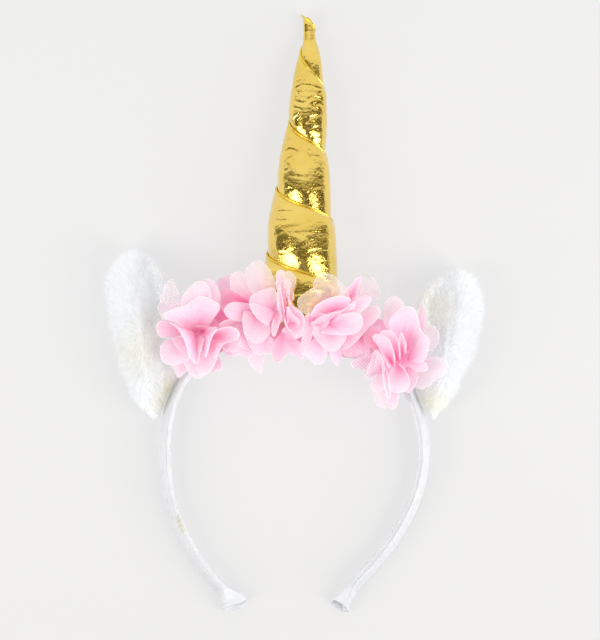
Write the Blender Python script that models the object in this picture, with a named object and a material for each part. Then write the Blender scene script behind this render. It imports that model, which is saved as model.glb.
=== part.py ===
"""Unicorn horn headband lying on its back: satin band, stuffed gold horn wound
with a cord, four chiffon flowers on a ruffled strip, and two fur ears.

All tables are in millimetres, in the frame of the finished part: X to the right,
Y from the open ends of the band towards the tip of the horn, Z up from the
surface it lies on. The meshes are written in metres.
"""
import math

import bmesh
import bpy
import numpy as np
from mathutils import Vector
from mathutils.bvhtree import BVHTree

MM = 0.001
GAP = 0.3

BAND_HALF_THICK = 2.0
BAND_HALF_WIDE = 5.25
BAND_STATIONS = 48
BAND_SIDES = 12

# Middle line of the band from its left end over the top to its right end.
# x, y, z of the middle of the section, inward lean of the front edge in degrees
BAND_LINE = [
    (-36.9, -144.6, 5.6, 20),
    (-43.2, -138.3, 5.6, 20),
    (-52.5, -125.3, 5.7, 20),
    (-60.8, -109.2, 6.0, 20),
    (-66.0, -92.0, 6.6, 20),
    (-67.6, -75.9, 7.2, 20),
    (-67.1, -60.3, 7.9, 20),
    (-63.4, -44.7, 8.7, 19),
    (-55.6, -30.7, 9.8, 17),
    (-41.6, -18.2, 11.2, 13),
    (-23.4, -10.1, 12.5, 9),
    (0.0, -7.3, 13.0, 8),
    (23.4, -10.1, 12.5, 9),
    (44.2, -19.8, 11.2, 13),
    (56.7, -34.8, 9.6, 17),
    (63.4, -49.9, 8.5, 19),
    (66.8, -65.5, 7.6, 20),
    (66.6, -80.1, 7.0, 20),
    (62.9, -95.2, 6.4, 20),
    (57.2, -107.6, 6.1, 20),
    (49.9, -119.6, 5.8, 20),
    (41.1, -130.5, 5.6, 20),
    (29.6, -143.0, 5.6, 20),
]

# Flared cloth ends of the band.
# x, y of the middle, half width across, half height
END_LEFT = [
    (-34.3, -147.7, 4.8, 5.0),
    (-32.6, -151.0, 6.3, 4.4),
    (-31.7, -154.7, 6.9, 3.9),
]
END_RIGHT = [
    (26.5, -146.9, 4.3, 5.0),
    (23.9, -150.3, 4.9, 4.4),
    (22.5, -154.4, 4.9, 4.0),
]
END_WALL = 1.2
LIP_SETBACK = 3.6

HORN_SIDES = 20
HORN_RINGS = 58
HORN_DEPTH_SHARE = 0.86
ROUND_HALF_WIDTH = 9
HORN_BACK_Z = 1.5
GROOVE_DEPTH = 1.5
GROOVE_SPREAD = 3.2
GROOVE_PITCH = 35.0
FULL_GROOVE_HALF_WIDTH = 8.0
# How far the horn pulls in near its base: share of its length passed, depth
BASE_ROUNDING = [(0.985, 1.6), (0.965, 0.4)]
# The arch of the band that the base of the horn is fitted to
ARCH_RADIUS = 75
ARCH_REACH = 12
ARCH_NEAR = 7

# Outline of the horn from its tip to its base.
# y, x of the middle, full width
HORN_ROWS = [
    (155.0, 6.0, 2.1),
    (153.9, 6.4, 4.2),
    (151.3, 7.0, 5.3),
    (147.2, 7.4, 5.7),
    (142.5, 7.6, 6.6),
    (139.4, 7.9, 8.3),
    (136.2, 7.7, 10.7),
    (131.0, 7.5, 13.0),
    (122.2, 7.3, 16.1),
    (113.4, 7.0, 18.2),
    (100.9, 6.6, 20.5),
    (92.0, 5.9, 22.2),
    (82.2, 4.6, 24.4),
    (72.3, 4.3, 27.3),
    (59.3, 3.8, 30.7),
    (46.3, 3.2, 34.3),
    (31.7, 3.3, 37.2),
    (17.7, 3.4, 39.5),
    (-5.2, 3.4, 40.0),
]

# The cord winds round the horn: turns counted from the left edge over the front,
# and how far down the horn it is there.
# turn, y
CORD_TURNS = [
    (-0.85, 153.4),
    (-0.5, 147.7),
    (0.0, 138.3),
    (0.5, 116.5),
    (1.0, 100.4),
    (1.5, 81.6),
    (2.0, 65.0),
    (2.5, 47.8),
    (3.0, 31.2),
    (3.5, 12.5),
    (3.8, 2.6),
]
CORD_RADIUS = 0.6
CORD_CLEARANCE = 0.5
CORD_SIDES = 5
CORD_STEPS = 112

STRIP_WALL = 1.0
STRIP_STATIONS = 30
STRIP_LOWEST_Y = -45
STRIP_LOWEST_Z = 16.5
STRIP_MIDDLE = 0.45
STRIP_FRILL = 1.0
STRIP_RIPPLE = 0.55

# The ruffled strip under the flowers follows the band.
# x on the band, how far it reaches below and above the middle line of the band
STRIP_ROWS = [
    (-54.6, 4.0, 9.0),
    (-46.8, 7.0, 15.0),
    (-38.0, 8.0, 23.0),
    (-28.6, 9.0, 22.0),
    (-21.3, 11.0, 14.0),
    (-16.1, 12.0, 2.2),
    (2.6, 13.0, 2.2),
    (23.4, 12.0, 2.2),
    (28.6, 11.0, 11.0),
    (38.0, 9.0, 15.0),
    (46.3, 8.0, 14.0),
    (52.5, 4.0, 8.0),
]

PETAL_WALL = 1.0
FLOWERS = {
    "1": (-48.6, -8.6, 21.0),
    "2": (-17.2, 1.6, 22.0),
    "3": (21.3, 0.5, 22.0),
    "4": (53.6, -19.8, 20.5),
}
# Angle round the flower counted from +X, reach from its middle, half spread
# of the petal in degrees, all in one row for each petal of each layer.
PETALS = {
    ("1", "outer"): [
        (84, 26.0, 26), (121, 31.0, 17), (176, 22.5, 20), (207, 24.0, 17),
        (242, 26.5, 17), (268, 24.5, 17), (297, 21.5, 18), (339, 21.5, 26), (35, 19.0, 22),
    ],
    ("1", "middle"): [
        (159, 21.0, 28), (95, 17.0, 34), (51, 17.0, 26), (0, 20.0, 24),
        (220, 15.5, 28), (285, 15.0, 34),
    ],
    ("1", "inner"): [(60, 9.5, 50), (150, 10.0, 46), (250, 10.5, 50), (340, 9.5, 46)],
    ("2", "outer"): [
        (96, 24.5, 19), (129, 28.0, 23), (177, 20.0, 19), (205, 19.0, 16), (232, 28.0, 16),
        (264, 31.0, 15), (289, 27.0, 16), (332, 21.0, 24), (9, 20.0, 18), (45, 23.5, 20),
    ],
    ("2", "middle"): [
        (96, 20.0, 26), (140, 18.5, 24), (190, 16.0, 30), (257, 17.0, 36),
        (318, 16.0, 28), (20, 15.0, 34),
    ],
    ("2", "inner"): [(75, 10.0, 50), (165, 8.5, 46), (265, 9.5, 50), (350, 9.0, 46)],
    ("3", "outer"): [
        (170, 20.0, 20), (106, 20.5, 26), (52, 24.5, 20), (15, 24.0, 18), (331, 21.0, 22),
        (228, 26.0, 17), (254, 27.5, 16), (274, 28.0, 15), (298, 25.0, 18), (200, 18.0, 16),
    ],
    ("3", "middle"): [
        (23, 19.5, 28), (80, 15.0, 30), (137, 14.0, 32), (190, 15.0, 26),
        (243, 17.5, 30), (326, 19.0, 30),
    ],
    ("3", "inner"): [(45, 11.0, 46), (137, 9.5, 48), (235, 10.0, 50), (338, 12.0, 44)],
    ("4", "outer"): [
        (94, 28.0, 19), (61, 26.5, 17), (20, 20.0, 26), (342, 26.5, 20), (308, 24.0, 18),
        (264, 29.5, 14), (248, 30.5, 14), (222, 23.0, 17), (196, 24.5, 17), (135, 20.0, 25),
    ],
    ("4", "middle"): [
        (74, 22.0, 30), (25, 15.0, 28), (327, 17.0, 26), (277, 20.0, 26),
        (230, 20.0, 26), (170, 15.0, 34),
    ],
    ("4", "inner"): [(60, 10.5, 48), (148, 13.0, 44), (245, 10.0, 50), (335, 9.5, 46)],
}
# Segments round, rise of the petals in degrees, height above the flower's own
# base, height of the ruffle at the rim
LAYERS = {
    "outer": (32, 9, 0.0, 1.1),
    "middle": (24, 30, 1.5, 1.3),
    "inner": (18, 52, 3.0, 0.7),
}

EAR_BACK_Z = 1.1
EAR_RIM_Z = 7.0
EAR_LOCKS = 24

# Outline of each ear. y, left edge x, right edge x
EAR_LEFT_ROWS = [
    (32.8, -84.2, -82.2),
    (27.0, -92.6, -74.9),
    (18.7, -98.8, -67.1),
    (11.4, -99.6, -64.0),
    (2.1, -98.3, -62.4),
    (-7.3, -95.9, -60.8),
    (-16.6, -94.6, -60.3),
    (-29.6, -91.0, -58.9),
    (-42.1, -85.3, -66.1),
    (-52.0, -78.0, -69.2),
    (-57.2, -73.3, -71.8),
]
EAR_RIGHT_ROWS = [
    (22.4, 83.7, 88.9),
    (15.6, 71.2, 94.6),
    (7.3, 64.0, 98.3),
    (1.0, 61.4, 99.3),
    (-9.4, 59.8, 96.2),
    (-19.8, 57.2, 94.1),
    (-28.6, 57.3, 89.4),
    (-40.0, 63.2, 84.2),
    (-47.3, 66.7, 78.5),
    (-57.2, 70.2, 73.8),
]
# Middle the locks spread from, height of the outer and inner rolls, where each
# roll and the hollow lie across the ear (0 at the outer edge, 1 at the band)
EARS = {
    "left": (EAR_LEFT_ROWS, -79.0, -6.2, 20.0, 14.0, 0.34, 0.90, 0.66),
    "right": (EAR_RIGHT_ROWS, 78.0, -11.4, 20.0, 13.0, 0.30, 0.92, 0.68),
}
# Cream lining in the hollow of each ear. x, y around its edge
LINING = {
    "left": [-75.4, 23.9, -68.6, 16.6, -66.6, 7.3, -66.0, -4.2, -66.0, -15.6, -70.2, -27.0,
             -75.4, -36.4, -79.0, -27.0, -80.1, -15.6, -80.6, -3.1, -80.6, 9.4, -79.0, 18.7],
    "right": [78.5, 17.2, 80.6, 7.3, 79.0, -4.2, 78.5, -15.6, 77.0, -27.0, 73.8, -37.4,
              69.2, -29.1, 65.5, -18.7, 64.5, -8.3, 65.0, 0.0, 68.1, 7.3, 73.3, 14.0],
}
LINING_WALL = 1.4


def clear_scene():
    for obj in list(bpy.data.objects):
        bpy.data.objects.remove(obj, do_unlink=True)


def material(name, colour, roughness, metallic=0.0, sheen=0.0):
    mat = bpy.data.materials.new(name)
    mat.use_nodes = True
    shader = mat.node_tree.nodes["Principled BSDF"]
    shader.inputs["Base Color"].default_value = (*colour, 1.0)
    shader.inputs["Roughness"].default_value = roughness
    shader.inputs["Metallic"].default_value = metallic
    shader.inputs["Sheen Weight"].default_value = sheen
    return mat


def curve_rows(rows, count):
    """Smooth rows through the given ones, evenly spaced along x and y."""
    pts = np.array(rows, float)
    first = 2 * pts[0] - pts[1]
    last = 2 * pts[-1] - pts[-2]
    p = np.vstack([first, pts, last])
    dense = []
    for i in range(1, len(p) - 2):
        for t in np.linspace(0, 1, 16, endpoint=False):
            a = 2 * p[i]
            b = (p[i + 1] - p[i - 1]) * t
            c = (2 * p[i - 1] - 5 * p[i] + 4 * p[i + 1] - p[i + 2]) * t**2
            d = (3 * p[i] - p[i - 1] - 3 * p[i + 1] + p[i + 2]) * t**3
            dense.append(0.5 * (a + b + c + d))
    dense.append(pts[-1])
    dense = np.array(dense)
    steps = np.linalg.norm(np.diff(dense[:, :2], axis=0), axis=1)
    along = np.concatenate([[0], np.cumsum(steps)])
    want = np.linspace(0, along[-1], count)
    return np.array([np.interp(want, along, dense[:, k]) for k in range(dense.shape[1])]).T


def rounded_section(half_a, half_b, sides, power=0.42):
    ring = []
    for k in range(sides):
        angle = 2 * math.pi * k / sides
        c, s = math.cos(angle), math.sin(angle)
        a = half_a * math.copysign(abs(c) ** power, c)
        b = half_b * math.copysign(abs(s) ** power, s)
        ring.append((a, b))
    return ring


def loft(rings):
    """Closed body through rings of equal length, a fan closing each end."""
    n = len(rings[0])
    verts = [tuple(v) for ring in rings for v in ring]
    faces = []
    for i in range(len(rings) - 1):
        for j in range(n):
            a, b = i * n + j, i * n + (j + 1) % n
            faces.append((a, b, b + n, a + n))
    for ring, start in ((rings[0], 0), (rings[-1], (len(rings) - 1) * n)):
        middle = len(verts)
        verts.append(tuple(np.mean(np.array(ring), axis=0)))
        for j in range(n):
            faces.append((start + j, start + (j + 1) % n, middle))
    return verts, faces


def build(name, verts, faces, mat, sharp_deg=40):
    """Mesh object in metres from millimetre points, triangulated, faces outward."""
    mesh = bpy.data.meshes.new(name)
    mesh.from_pydata([tuple(c * MM for c in v) for v in verts], [], faces)
    bm = bmesh.new()
    bm.from_mesh(mesh)
    bmesh.ops.triangulate(bm, faces=bm.faces[:])
    bmesh.ops.recalc_face_normals(bm, faces=bm.faces[:])
    for face in bm.faces:
        face.smooth = True
    bm.to_mesh(mesh)
    bm.free()
    mesh.set_sharp_from_angle(angle=math.radians(sharp_deg))
    mesh.materials.append(mat)
    obj = bpy.data.objects.new(name, mesh)
    bpy.context.scene.collection.objects.link(obj)
    return obj


def tree_of(obj):
    """Ray-casting tree of an object, in millimetres."""
    mesh = obj.data
    verts = [v.co / MM for v in mesh.vertices]
    return BVHTree.FromPolygons(verts, [tuple(p.vertices) for p in mesh.polygons])


class Cover:
    """Height of whatever has been laid down so far, on a one-millimetre grid."""

    STEP = 1.0
    LOW = (-105.0, -62.0)
    SIZE = (211, 121)

    def __init__(self):
        self.top = np.zeros(self.SIZE)

    def add(self, obj):
        tree = tree_of(obj)
        corners = np.array([v.co for v in obj.data.vertices]) / MM
        low = np.floor((corners.min(0)[:2] - self.LOW) / self.STEP).astype(int)
        high = np.ceil((corners.max(0)[:2] - self.LOW) / self.STEP).astype(int)
        low = np.maximum(low, 0)
        for i in range(low[0], min(high[0] + 1, self.SIZE[0])):
            for j in range(low[1], min(high[1] + 1, self.SIZE[1])):
                x = self.LOW[0] + i * self.STEP
                y = self.LOW[1] + j * self.STEP
                hit = tree.ray_cast(Vector((x, y, 100.0)), Vector((0, 0, -1)))[0]
                if hit is not None:
                    self.top[i, j] = max(self.top[i, j], hit.z)

    def height(self, x, y, reach):
        i = (x - self.LOW[0]) / self.STEP
        j = (y - self.LOW[1]) / self.STEP
        i0, i1 = math.floor(i - reach), math.ceil(i + reach)
        j0, j1 = math.floor(j - reach), math.ceil(j + reach)
        part = self.top[max(i0, 0):i1 + 1, max(j0, 0):j1 + 1]
        return float(part.max()) if part.size else 0.0


def lift_clear(pts, low, faces, cover):
    """Raise the lower side of a sheet wherever a face would dip into what is below."""
    weights = [(a / 4, b / 4, (4 - a - b) / 4) for a in range(5) for b in range(5 - a)]
    for _ in range(8):
        moved = False
        for tri in faces:
            corners = list(tri)
            for share in weights:
                x, y = pts[corners].T @ share
                short = cover.height(x, y, 0.8) + GAP - low[corners] @ share
                if short > 1e-4:
                    for corner, part in zip(corners, share):
                        if part > 0.2:
                            low[corner] += short
                    moved = True
        if not moved:
            break


def cloth(name, rings, under, wall, mat, cover):
    """Closed sheet over nested rings of points, its thickness upright.

    rings[0] is the innermost ring, under gives the height of its lower side.
    """
    n = len(rings[0])
    flat = [p for ring in rings for p in ring]
    middle = np.mean(np.array(rings[0]), axis=0)
    heights = [h for ring in under for h in ring]
    flat.append(tuple(middle))
    heights.append(float(np.mean(under[0])))
    pts = np.array(flat)
    low = np.array(heights)
    faces = []
    for i in range(len(rings) - 1):
        for j in range(n):
            a, b = i * n + j, i * n + (j + 1) % n
            faces += [(a, b, b + n), (a, b + n, a + n)]
    for j in range(n):
        faces.append((j, (j + 1) % n, len(flat) - 1))
    lift_clear(pts, low, faces, cover)
    count = np.zeros(len(flat))
    total = np.zeros(len(flat))
    for tri in faces:
        p = [np.array([*pts[k], low[k]]) for k in tri]
        normal = np.cross(p[1] - p[0], p[2] - p[0])
        tilt = np.linalg.norm(normal) / max(abs(normal[2]), 1e-6)
        for k in tri:
            total[k] += min(tilt, 2.4)
            count[k] += 1
    steep = total / count
    high = low + wall * steep
    size = len(flat)
    verts = [(*pts[k], low[k]) for k in range(size)] + [(*pts[k], high[k]) for k in range(size)]
    solid = list(faces) + [tuple(k + size for k in reversed(tri)) for tri in faces]
    last = (len(rings) - 1) * n
    for j in range(n):
        a, b = last + j, last + (j + 1) % n
        solid.append((a, b, b + size, a + size))
    return build(name, verts, solid, mat)


def band_frames():
    rows = curve_rows(BAND_LINE, BAND_STATIONS)
    frames = []
    for i, (x, y, z, lean) in enumerate(rows):
        before, after = rows[max(i - 1, 0)], rows[min(i + 1, len(rows) - 1)]
        along = Vector((after[:3] - before[:3])).normalized()
        outward = Vector((-along.y, along.x, 0)).normalized()
        up = outward.cross(along).normalized()
        if up.z < 0:
            up = -up
        turn = math.radians(lean)
        thick = outward * math.cos(turn) + up * math.sin(turn)
        wide = up * math.cos(turn) - outward * math.sin(turn)
        frames.append((Vector((x, y, z)), along, thick, wide))
    return frames


def make_band(frames, mat):
    section = rounded_section(BAND_HALF_THICK, BAND_HALF_WIDE, BAND_SIDES)
    rings = [[c + t * a + w * b for a, b in section] for c, along, t, w in frames]
    return build("band", *loft(rings), mat)


def make_ribbon_end(name, frame, direction, rows, mat):
    """Open-mouthed cloth end that carries on from the band's end face."""
    centre, along, thick, wide = frame
    along = along * direction
    section = rounded_section(1.0, 1.0, BAND_SIDES, 0.5)
    start = centre + along * GAP
    first = [start + thick * (a * (BAND_HALF_THICK + 0.1)) + wide * (b * BAND_HALF_WIDE)
             for a, b in section]
    outer = [first]
    across_all, heads = [], []
    sign = 1.0 if thick.x * (-along.y) + thick.y * along.x > 0 else -1.0
    points = [Vector((start.x, start.y, 0))] + [Vector((r[0], r[1], 0)) for r in rows]
    for i, (x, y, half_across, half_high) in enumerate(rows):
        head = (points[min(i + 2, len(points) - 1)] - points[i]).normalized()
        across = Vector((-head.y, head.x, 0)) * sign
        across_all.append(across)
        heads.append(head)
        share = (i + 1) / len(rows)
        middle_z = half_high - 0.9 * min(1.0, share * 1.6)
        ring = []
        for a, b in section:
            z = max(middle_z + b * half_high, 0.0)
            set_back = LIP_SETBACK * share * max(0.0, b)
            p = Vector((x, y, 0)) + across * (a * half_across) - head * set_back
            ring.append(Vector((p.x, p.y, z)))
        outer.append(ring)
    inner = []
    x, y, half_across, half_high = rows[-1]
    head, across = heads[-1], across_all[-1]
    for back, shrink in ((0.0, 1.0), (1.8, 1.2), (3.8, 1.7)):
        side = half_across - END_WALL * shrink
        ring = []
        for a, b in section:
            z = max(half_high - 0.9 + b * (half_high - END_WALL * shrink), END_WALL)
            set_back = LIP_SETBACK * max(0.0, b) * (1.0 - 0.1 * back)
            p = Vector((x, y, 0)) + across * (a * side) - head * (back + set_back)
            ring.append(Vector((p.x, p.y, z)))
        inner.append(ring)
    return build(name, *loft(outer + inner), mat)


def horn_row(y):
    """Middle x and half width of the horn at one place along it."""
    rows = np.array(HORN_ROWS)[::-1]
    x = float(np.interp(y, rows[:, 0], rows[:, 1]))
    half = float(np.interp(y, rows[:, 0], rows[:, 2])) / 2
    return x, half


def horn_turn(y):
    rows = np.array(CORD_TURNS)[::-1]
    return float(np.interp(y, rows[:, 1], rows[:, 0]))


def depth_share(half):
    """How deep the horn is for its width: nearly round at the tip, flatter at the base."""
    return HORN_DEPTH_SHARE + (1 - HORN_DEPTH_SHARE) * max(0.0, 1 - half / ROUND_HALF_WIDTH)


def horn_base_y(x, frames):
    """Outer side of the band's arch at x, with the gap added."""
    best = -1e9
    for c, along, thick, wide in frames:
        if abs(c.x - x) > ARCH_REACH:
            continue
        outward = Vector((-along.y, along.x, 0)).normalized()
        edge = c + outward * (BAND_HALF_THICK + 0.75 + GAP)
        slope = along.y / along.x
        if abs(edge.x - x) < ARCH_NEAR:
            off = x - edge.x
            best = max(best, edge.y + slope * off - 0.5 * off**2 / ARCH_RADIUS)
    return best


def make_horn(frames, mat):
    """Stuffed cone, grooved where the cord winds round it, its base fitted to the band."""
    top = HORN_ROWS[0][0]
    rings = []
    for i in range(HORN_RINGS):
        share = i / (HORN_RINGS - 1)
        ring = []
        for j in range(HORN_SIDES):
            angle = 2 * math.pi * j / HORN_SIDES
            x_mid, half = horn_row(top + (-3.0 - top) * share)
            x_here = x_mid - half * math.cos(angle)
            bottom = horn_base_y(x_here, frames)
            y = top + (bottom - top) * share
            x_mid, half = horn_row(y)
            turn = horn_turn(y) - angle / (2 * math.pi)
            away = (turn - round(turn)) * GROOVE_PITCH
            size = min(1.0, half / FULL_GROOVE_HALF_WIDTH)
            dent = GROOVE_DEPTH * size * math.exp(-((away / (GROOVE_SPREAD * size + 0.3)) ** 2))
            for start, depth in BASE_ROUNDING:
                if share > start:
                    dent += depth
                    break
            flatness = depth_share(half)
            z_mid = HORN_BACK_Z + half * flatness
            x = x_mid - (half - dent) * math.cos(angle)
            z = z_mid + (half * flatness - dent) * math.sin(angle)
            ring.append((x, y, z))
        rings.append(ring)
    last = np.array(rings[-1])
    middle = last.mean(axis=0)
    for share in (0.66, 0.33):
        ring = []
        for p in last:
            x = middle[0] + (p[0] - middle[0]) * share
            z = middle[2] + (p[2] - middle[2]) * share
            ring.append((x, horn_base_y(x, frames), z))
        rings.append(ring)
    return build("horn", *loft(rings), mat, 60)


def make_cord(horn, mat):
    """Thin cord lying in the groove of the horn."""
    tree = tree_of(horn)
    turns = np.array(CORD_TURNS)
    path = []
    for turn in np.linspace(turns[0, 0], turns[-1, 0], CORD_STEPS):
        y = float(np.interp(turn, turns[:, 0], turns[:, 1]))
        x_mid, half = horn_row(y)
        flatness = depth_share(half)
        axis = Vector((x_mid, y, HORN_BACK_Z + half * flatness))
        angle = 2 * math.pi * turn
        out = Vector((-math.cos(angle), 0, math.sin(angle) * flatness)).normalized()
        hit = tree.ray_cast(axis + out * 60, -out)[0]
        point = hit + out * (CORD_RADIUS + CORD_CLEARANCE)
        for _ in range(12):
            near = tree.find_nearest(point)[3]
            if near >= CORD_RADIUS + CORD_CLEARANCE:
                break
            point = point + out * (CORD_RADIUS + CORD_CLEARANCE - near + 0.02)
        path.append((point, out))
    rings = []
    for i, (point, out) in enumerate(path):
        before, after = path[max(i - 1, 0)][0], path[min(i + 1, len(path) - 1)][0]
        along = (after - before).normalized()
        side = along.cross(out).normalized()
        up = side.cross(along).normalized()
        ring = []
        for k in range(CORD_SIDES):
            angle = 2 * math.pi * k / CORD_SIDES
            p = point + (side * math.cos(angle) + up * math.sin(angle)) * CORD_RADIUS
            ring.append(p)
        rings.append(ring)
    return build("horn_cord", *loft(rings), mat, 180)


def make_strip(frames, cover, mat):
    """Sheet over the band, its long edges frilled and its face gently rippled."""
    table = np.array(STRIP_ROWS)
    first, last = table[0, 0] - 2, table[-1, 0] + 2
    middles = [frame[0] for frame in frames]
    inside = [(p.x, p.y) for p in middles if first < p.x < last and p.y > STRIP_LOWEST_Y]
    rows = curve_rows(inside, STRIP_STATIONS)
    columns = []
    for i, (x, y) in enumerate(rows):
        before, after = rows[max(i - 1, 0)], rows[min(i + 1, len(rows) - 1)]
        along = (after - before) / np.linalg.norm(after - before)
        outward = np.array([-along[1], along[0]])
        low = np.interp(x, table[:, 0], table[:, 1])
        high = np.interp(x, table[:, 0], table[:, 2])
        frill = STRIP_FRILL * math.sin(i * 2.1)
        columns.append([
            (x, y) - outward * (low + frill),
            (x, y) - outward * (low * STRIP_MIDDLE),
            (x, y) + outward * (high * STRIP_MIDDLE),
            (x, y) + outward * (high + (frill if high > 5 else 0.0)),
        ])
    count = len(columns)
    verts, faces = [], []
    for i, column in enumerate(columns):
        for k, (x, y) in enumerate(column):
            ripple = 0.6 + STRIP_RIPPLE * math.sin(i * 1.35 + k * 1.1)
            z = max(cover.height(x, y, 4.0), STRIP_LOWEST_Z) + GAP + ripple
            verts.append((x, y, z))
    size = len(verts)
    verts += [(x, y, z + STRIP_WALL) for x, y, z in verts]
    for i in range(count - 1):
        for k in range(3):
            a = i * 4 + k
            faces += [(a, a + 1, a + 5), (a, a + 5, a + 4)]
    faces += [tuple(k + size for k in reversed(f)) for f in faces]
    edge = [i * 4 for i in range(count)]
    edge += [(count - 1) * 4 + k for k in (1, 2, 3)]
    edge += [i * 4 + 3 for i in range(count - 2, -1, -1)]
    edge += [2, 1]
    for k, a in enumerate(edge):
        b = edge[(k + 1) % len(edge)]
        faces.append((a, b, b + size, a + size))
    return build("chiffon_strip", verts, faces, mat)


def petal_reach(petals, angle):
    """Distance to the rim of a layer of petals in one direction."""
    best = 0.0
    mean = sum(p[1] for p in petals) / len(petals)
    for direction, reach, spread in petals:
        off = (math.degrees(angle) - direction + 180) % 360 - 180
        share = abs(off) / spread
        if share < 1:
            best = max(best, reach * (1 - share**2.4) ** 0.5)
    return max(best, mean * 0.55)


def make_flower_layer(number, layer, cover, mat):
    x0, y0, z0 = FLOWERS[number]
    segments, rise, lift, ruffle = LAYERS[layer]
    petals = PETALS[(number, layer)]
    slope = math.tan(math.radians(rise))
    shares = (0.34, 0.7, 1.0)
    rings, under = [], []
    for share in shares:
        ring, heights = [], []
        for j in range(segments):
            angle = 2 * math.pi * (j + 0.5 * (layer == "middle")) / segments
            rim = petal_reach(petals, angle)
            r = rim * share
            x, y = x0 + r * math.cos(angle), y0 + r * math.sin(angle)
            z = z0 + lift + slope * r * (0.55 + 0.45 * share)
            z += ruffle * share**2 * math.sin(j * 2.35 + ord(number))
            ring.append((x, y))
            heights.append(max(z, cover.height(x, y, 1.5) + GAP))
        rings.append(ring)
        under.append(heights)
    base = cover.height(x0, y0, 2.5) + GAP
    under[0] = [max(h, base) for h in under[0]]
    return cloth(f"flower_{number}_{layer}", rings, under, PETAL_WALL, mat, cover)


def outline_reach(rows, x0, y0, angle):
    """Distance from a middle point to an outline given row by row."""
    left = [(r[1], r[0]) for r in rows]
    right = [(r[2], r[0]) for r in reversed(rows)]
    loop = left + right
    direction = np.array([math.cos(angle), math.sin(angle)])
    best = 0.0
    for k in range(len(loop)):
        p = np.array(loop[k]) - (x0, y0)
        q = np.array(loop[(k + 1) % len(loop)]) - (x0, y0)
        edge = q - p
        cross = direction[0] * edge[1] - direction[1] * edge[0]
        if abs(cross) < 1e-9:
            continue
        distance = (p[0] * edge[1] - p[1] * edge[0]) / cross
        part = (p[0] * direction[1] - p[1] * direction[0]) / cross
        if distance > 0 and -1e-6 <= part <= 1 + 1e-6:
            best = max(best, distance)
    return best


def ear_height(side, x, y):
    """Height of the front of an ear: two rolls of fur with a hollow between."""
    rows, x0, y0, high_out, high_in, at_out, at_in, at_hollow = EARS[side]
    table = np.array(rows)[::-1]
    left = float(np.interp(y, table[:, 0], table[:, 1]))
    right = float(np.interp(y, table[:, 0], table[:, 2]))
    across = (x - left) / max(right - left, 1.0)
    if side == "right":
        across = 1 - across
    top, bottom = table[-1, 0], table[0, 0]
    along = (y - bottom) / (top - bottom)
    length = max(0.0, 1 - abs(2 * along - 1.05) ** 3.2) ** 0.5
    roll_out = high_out * math.exp(-(((across - at_out) / 0.24) ** 2))
    roll_in = high_in * math.exp(-(((across - at_in) / 0.13) ** 2))
    hollow = 8.0 * math.exp(-(((across - at_hollow) / 0.3) ** 2))
    return 3.6 + length * (max(roll_out, roll_in) * 0.85 + hollow * 0.25)


def make_ear_fur(side, mat):
    rows, x0, y0 = EARS[side][:3]
    columns = 2 * EAR_LOCKS
    front = (0.2, 0.4, 0.58, 0.74, 0.88, 1.0)
    rings = []
    for share in (0.35, 0.75):
        ring = []
        for j in range(columns):
            angle = 2 * math.pi * j / columns
            r = outline_reach(rows, x0, y0, angle) * share
            x, y = x0 + r * math.cos(angle), y0 + r * math.sin(angle)
            ring.append((x, y, EAR_BACK_Z + 3.4 * share**3 + (0.35 if j % 2 else 0.0)))
        rings.append(ring)
    for k, share in reversed(list(enumerate(front))):
        ring = []
        for j in range(columns):
            angle = 2 * math.pi * j / columns
            ridge = 1.0 if (j + k // 2) % 2 == 0 else -1.0
            reach = outline_reach(rows, x0, y0, angle)
            r = reach * share - (2.6 * share**3 if j % 2 else 0.0)
            x, y = x0 + r * math.cos(angle), y0 + r * math.sin(angle)
            height = ear_height(side, x, y)
            rim = max(0.0, (share - 0.5) / 0.5)
            z = height * (1 - rim**2.6) + EAR_RIM_Z * rim**2.6
            z += ridge * (0.45 + 0.75 * share) * (0.55 if share == 1.0 else 1.0)
            ring.append((x, y, max(z, EAR_BACK_Z + 2.4)))
        rings.append(ring)
    return build(f"ear_{side}_fur", *loft(rings), mat, 30)


def make_lining(side, cover, mat):
    flat = LINING[side]
    edge = [(flat[k], flat[k + 1]) for k in range(0, len(flat), 2)]
    loop = []
    for k, p in enumerate(edge):
        q = edge[(k + 1) % len(edge)]
        loop += [p, ((p[0] + q[0]) / 2, (p[1] + q[1]) / 2)]
    middle = np.mean(np.array(edge), axis=0)
    rings, under = [], []
    for share in (0.4, 0.75, 1.0):
        ring = [tuple(middle + (np.array(p) - middle) * share) for p in loop]
        rings.append(ring)
        under.append([cover.height(x, y, 1.0) + GAP for x, y in ring])
    return cloth(f"ear_{side}_inner", rings, under, LINING_WALL, mat, cover)


def settle(objects):
    """Move everything so the middle of its box is over the origin, on the floor."""
    corners = np.vstack([[v.co for v in o.data.vertices] for o in objects])
    low, high = corners.min(axis=0), corners.max(axis=0)
    shift = Vector((-(low[0] + high[0]) / 2, -(low[1] + high[1]) / 2, -low[2]))
    for obj in objects:
        for vertex in obj.data.vertices:
            vertex.co = vertex.co + shift


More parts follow.
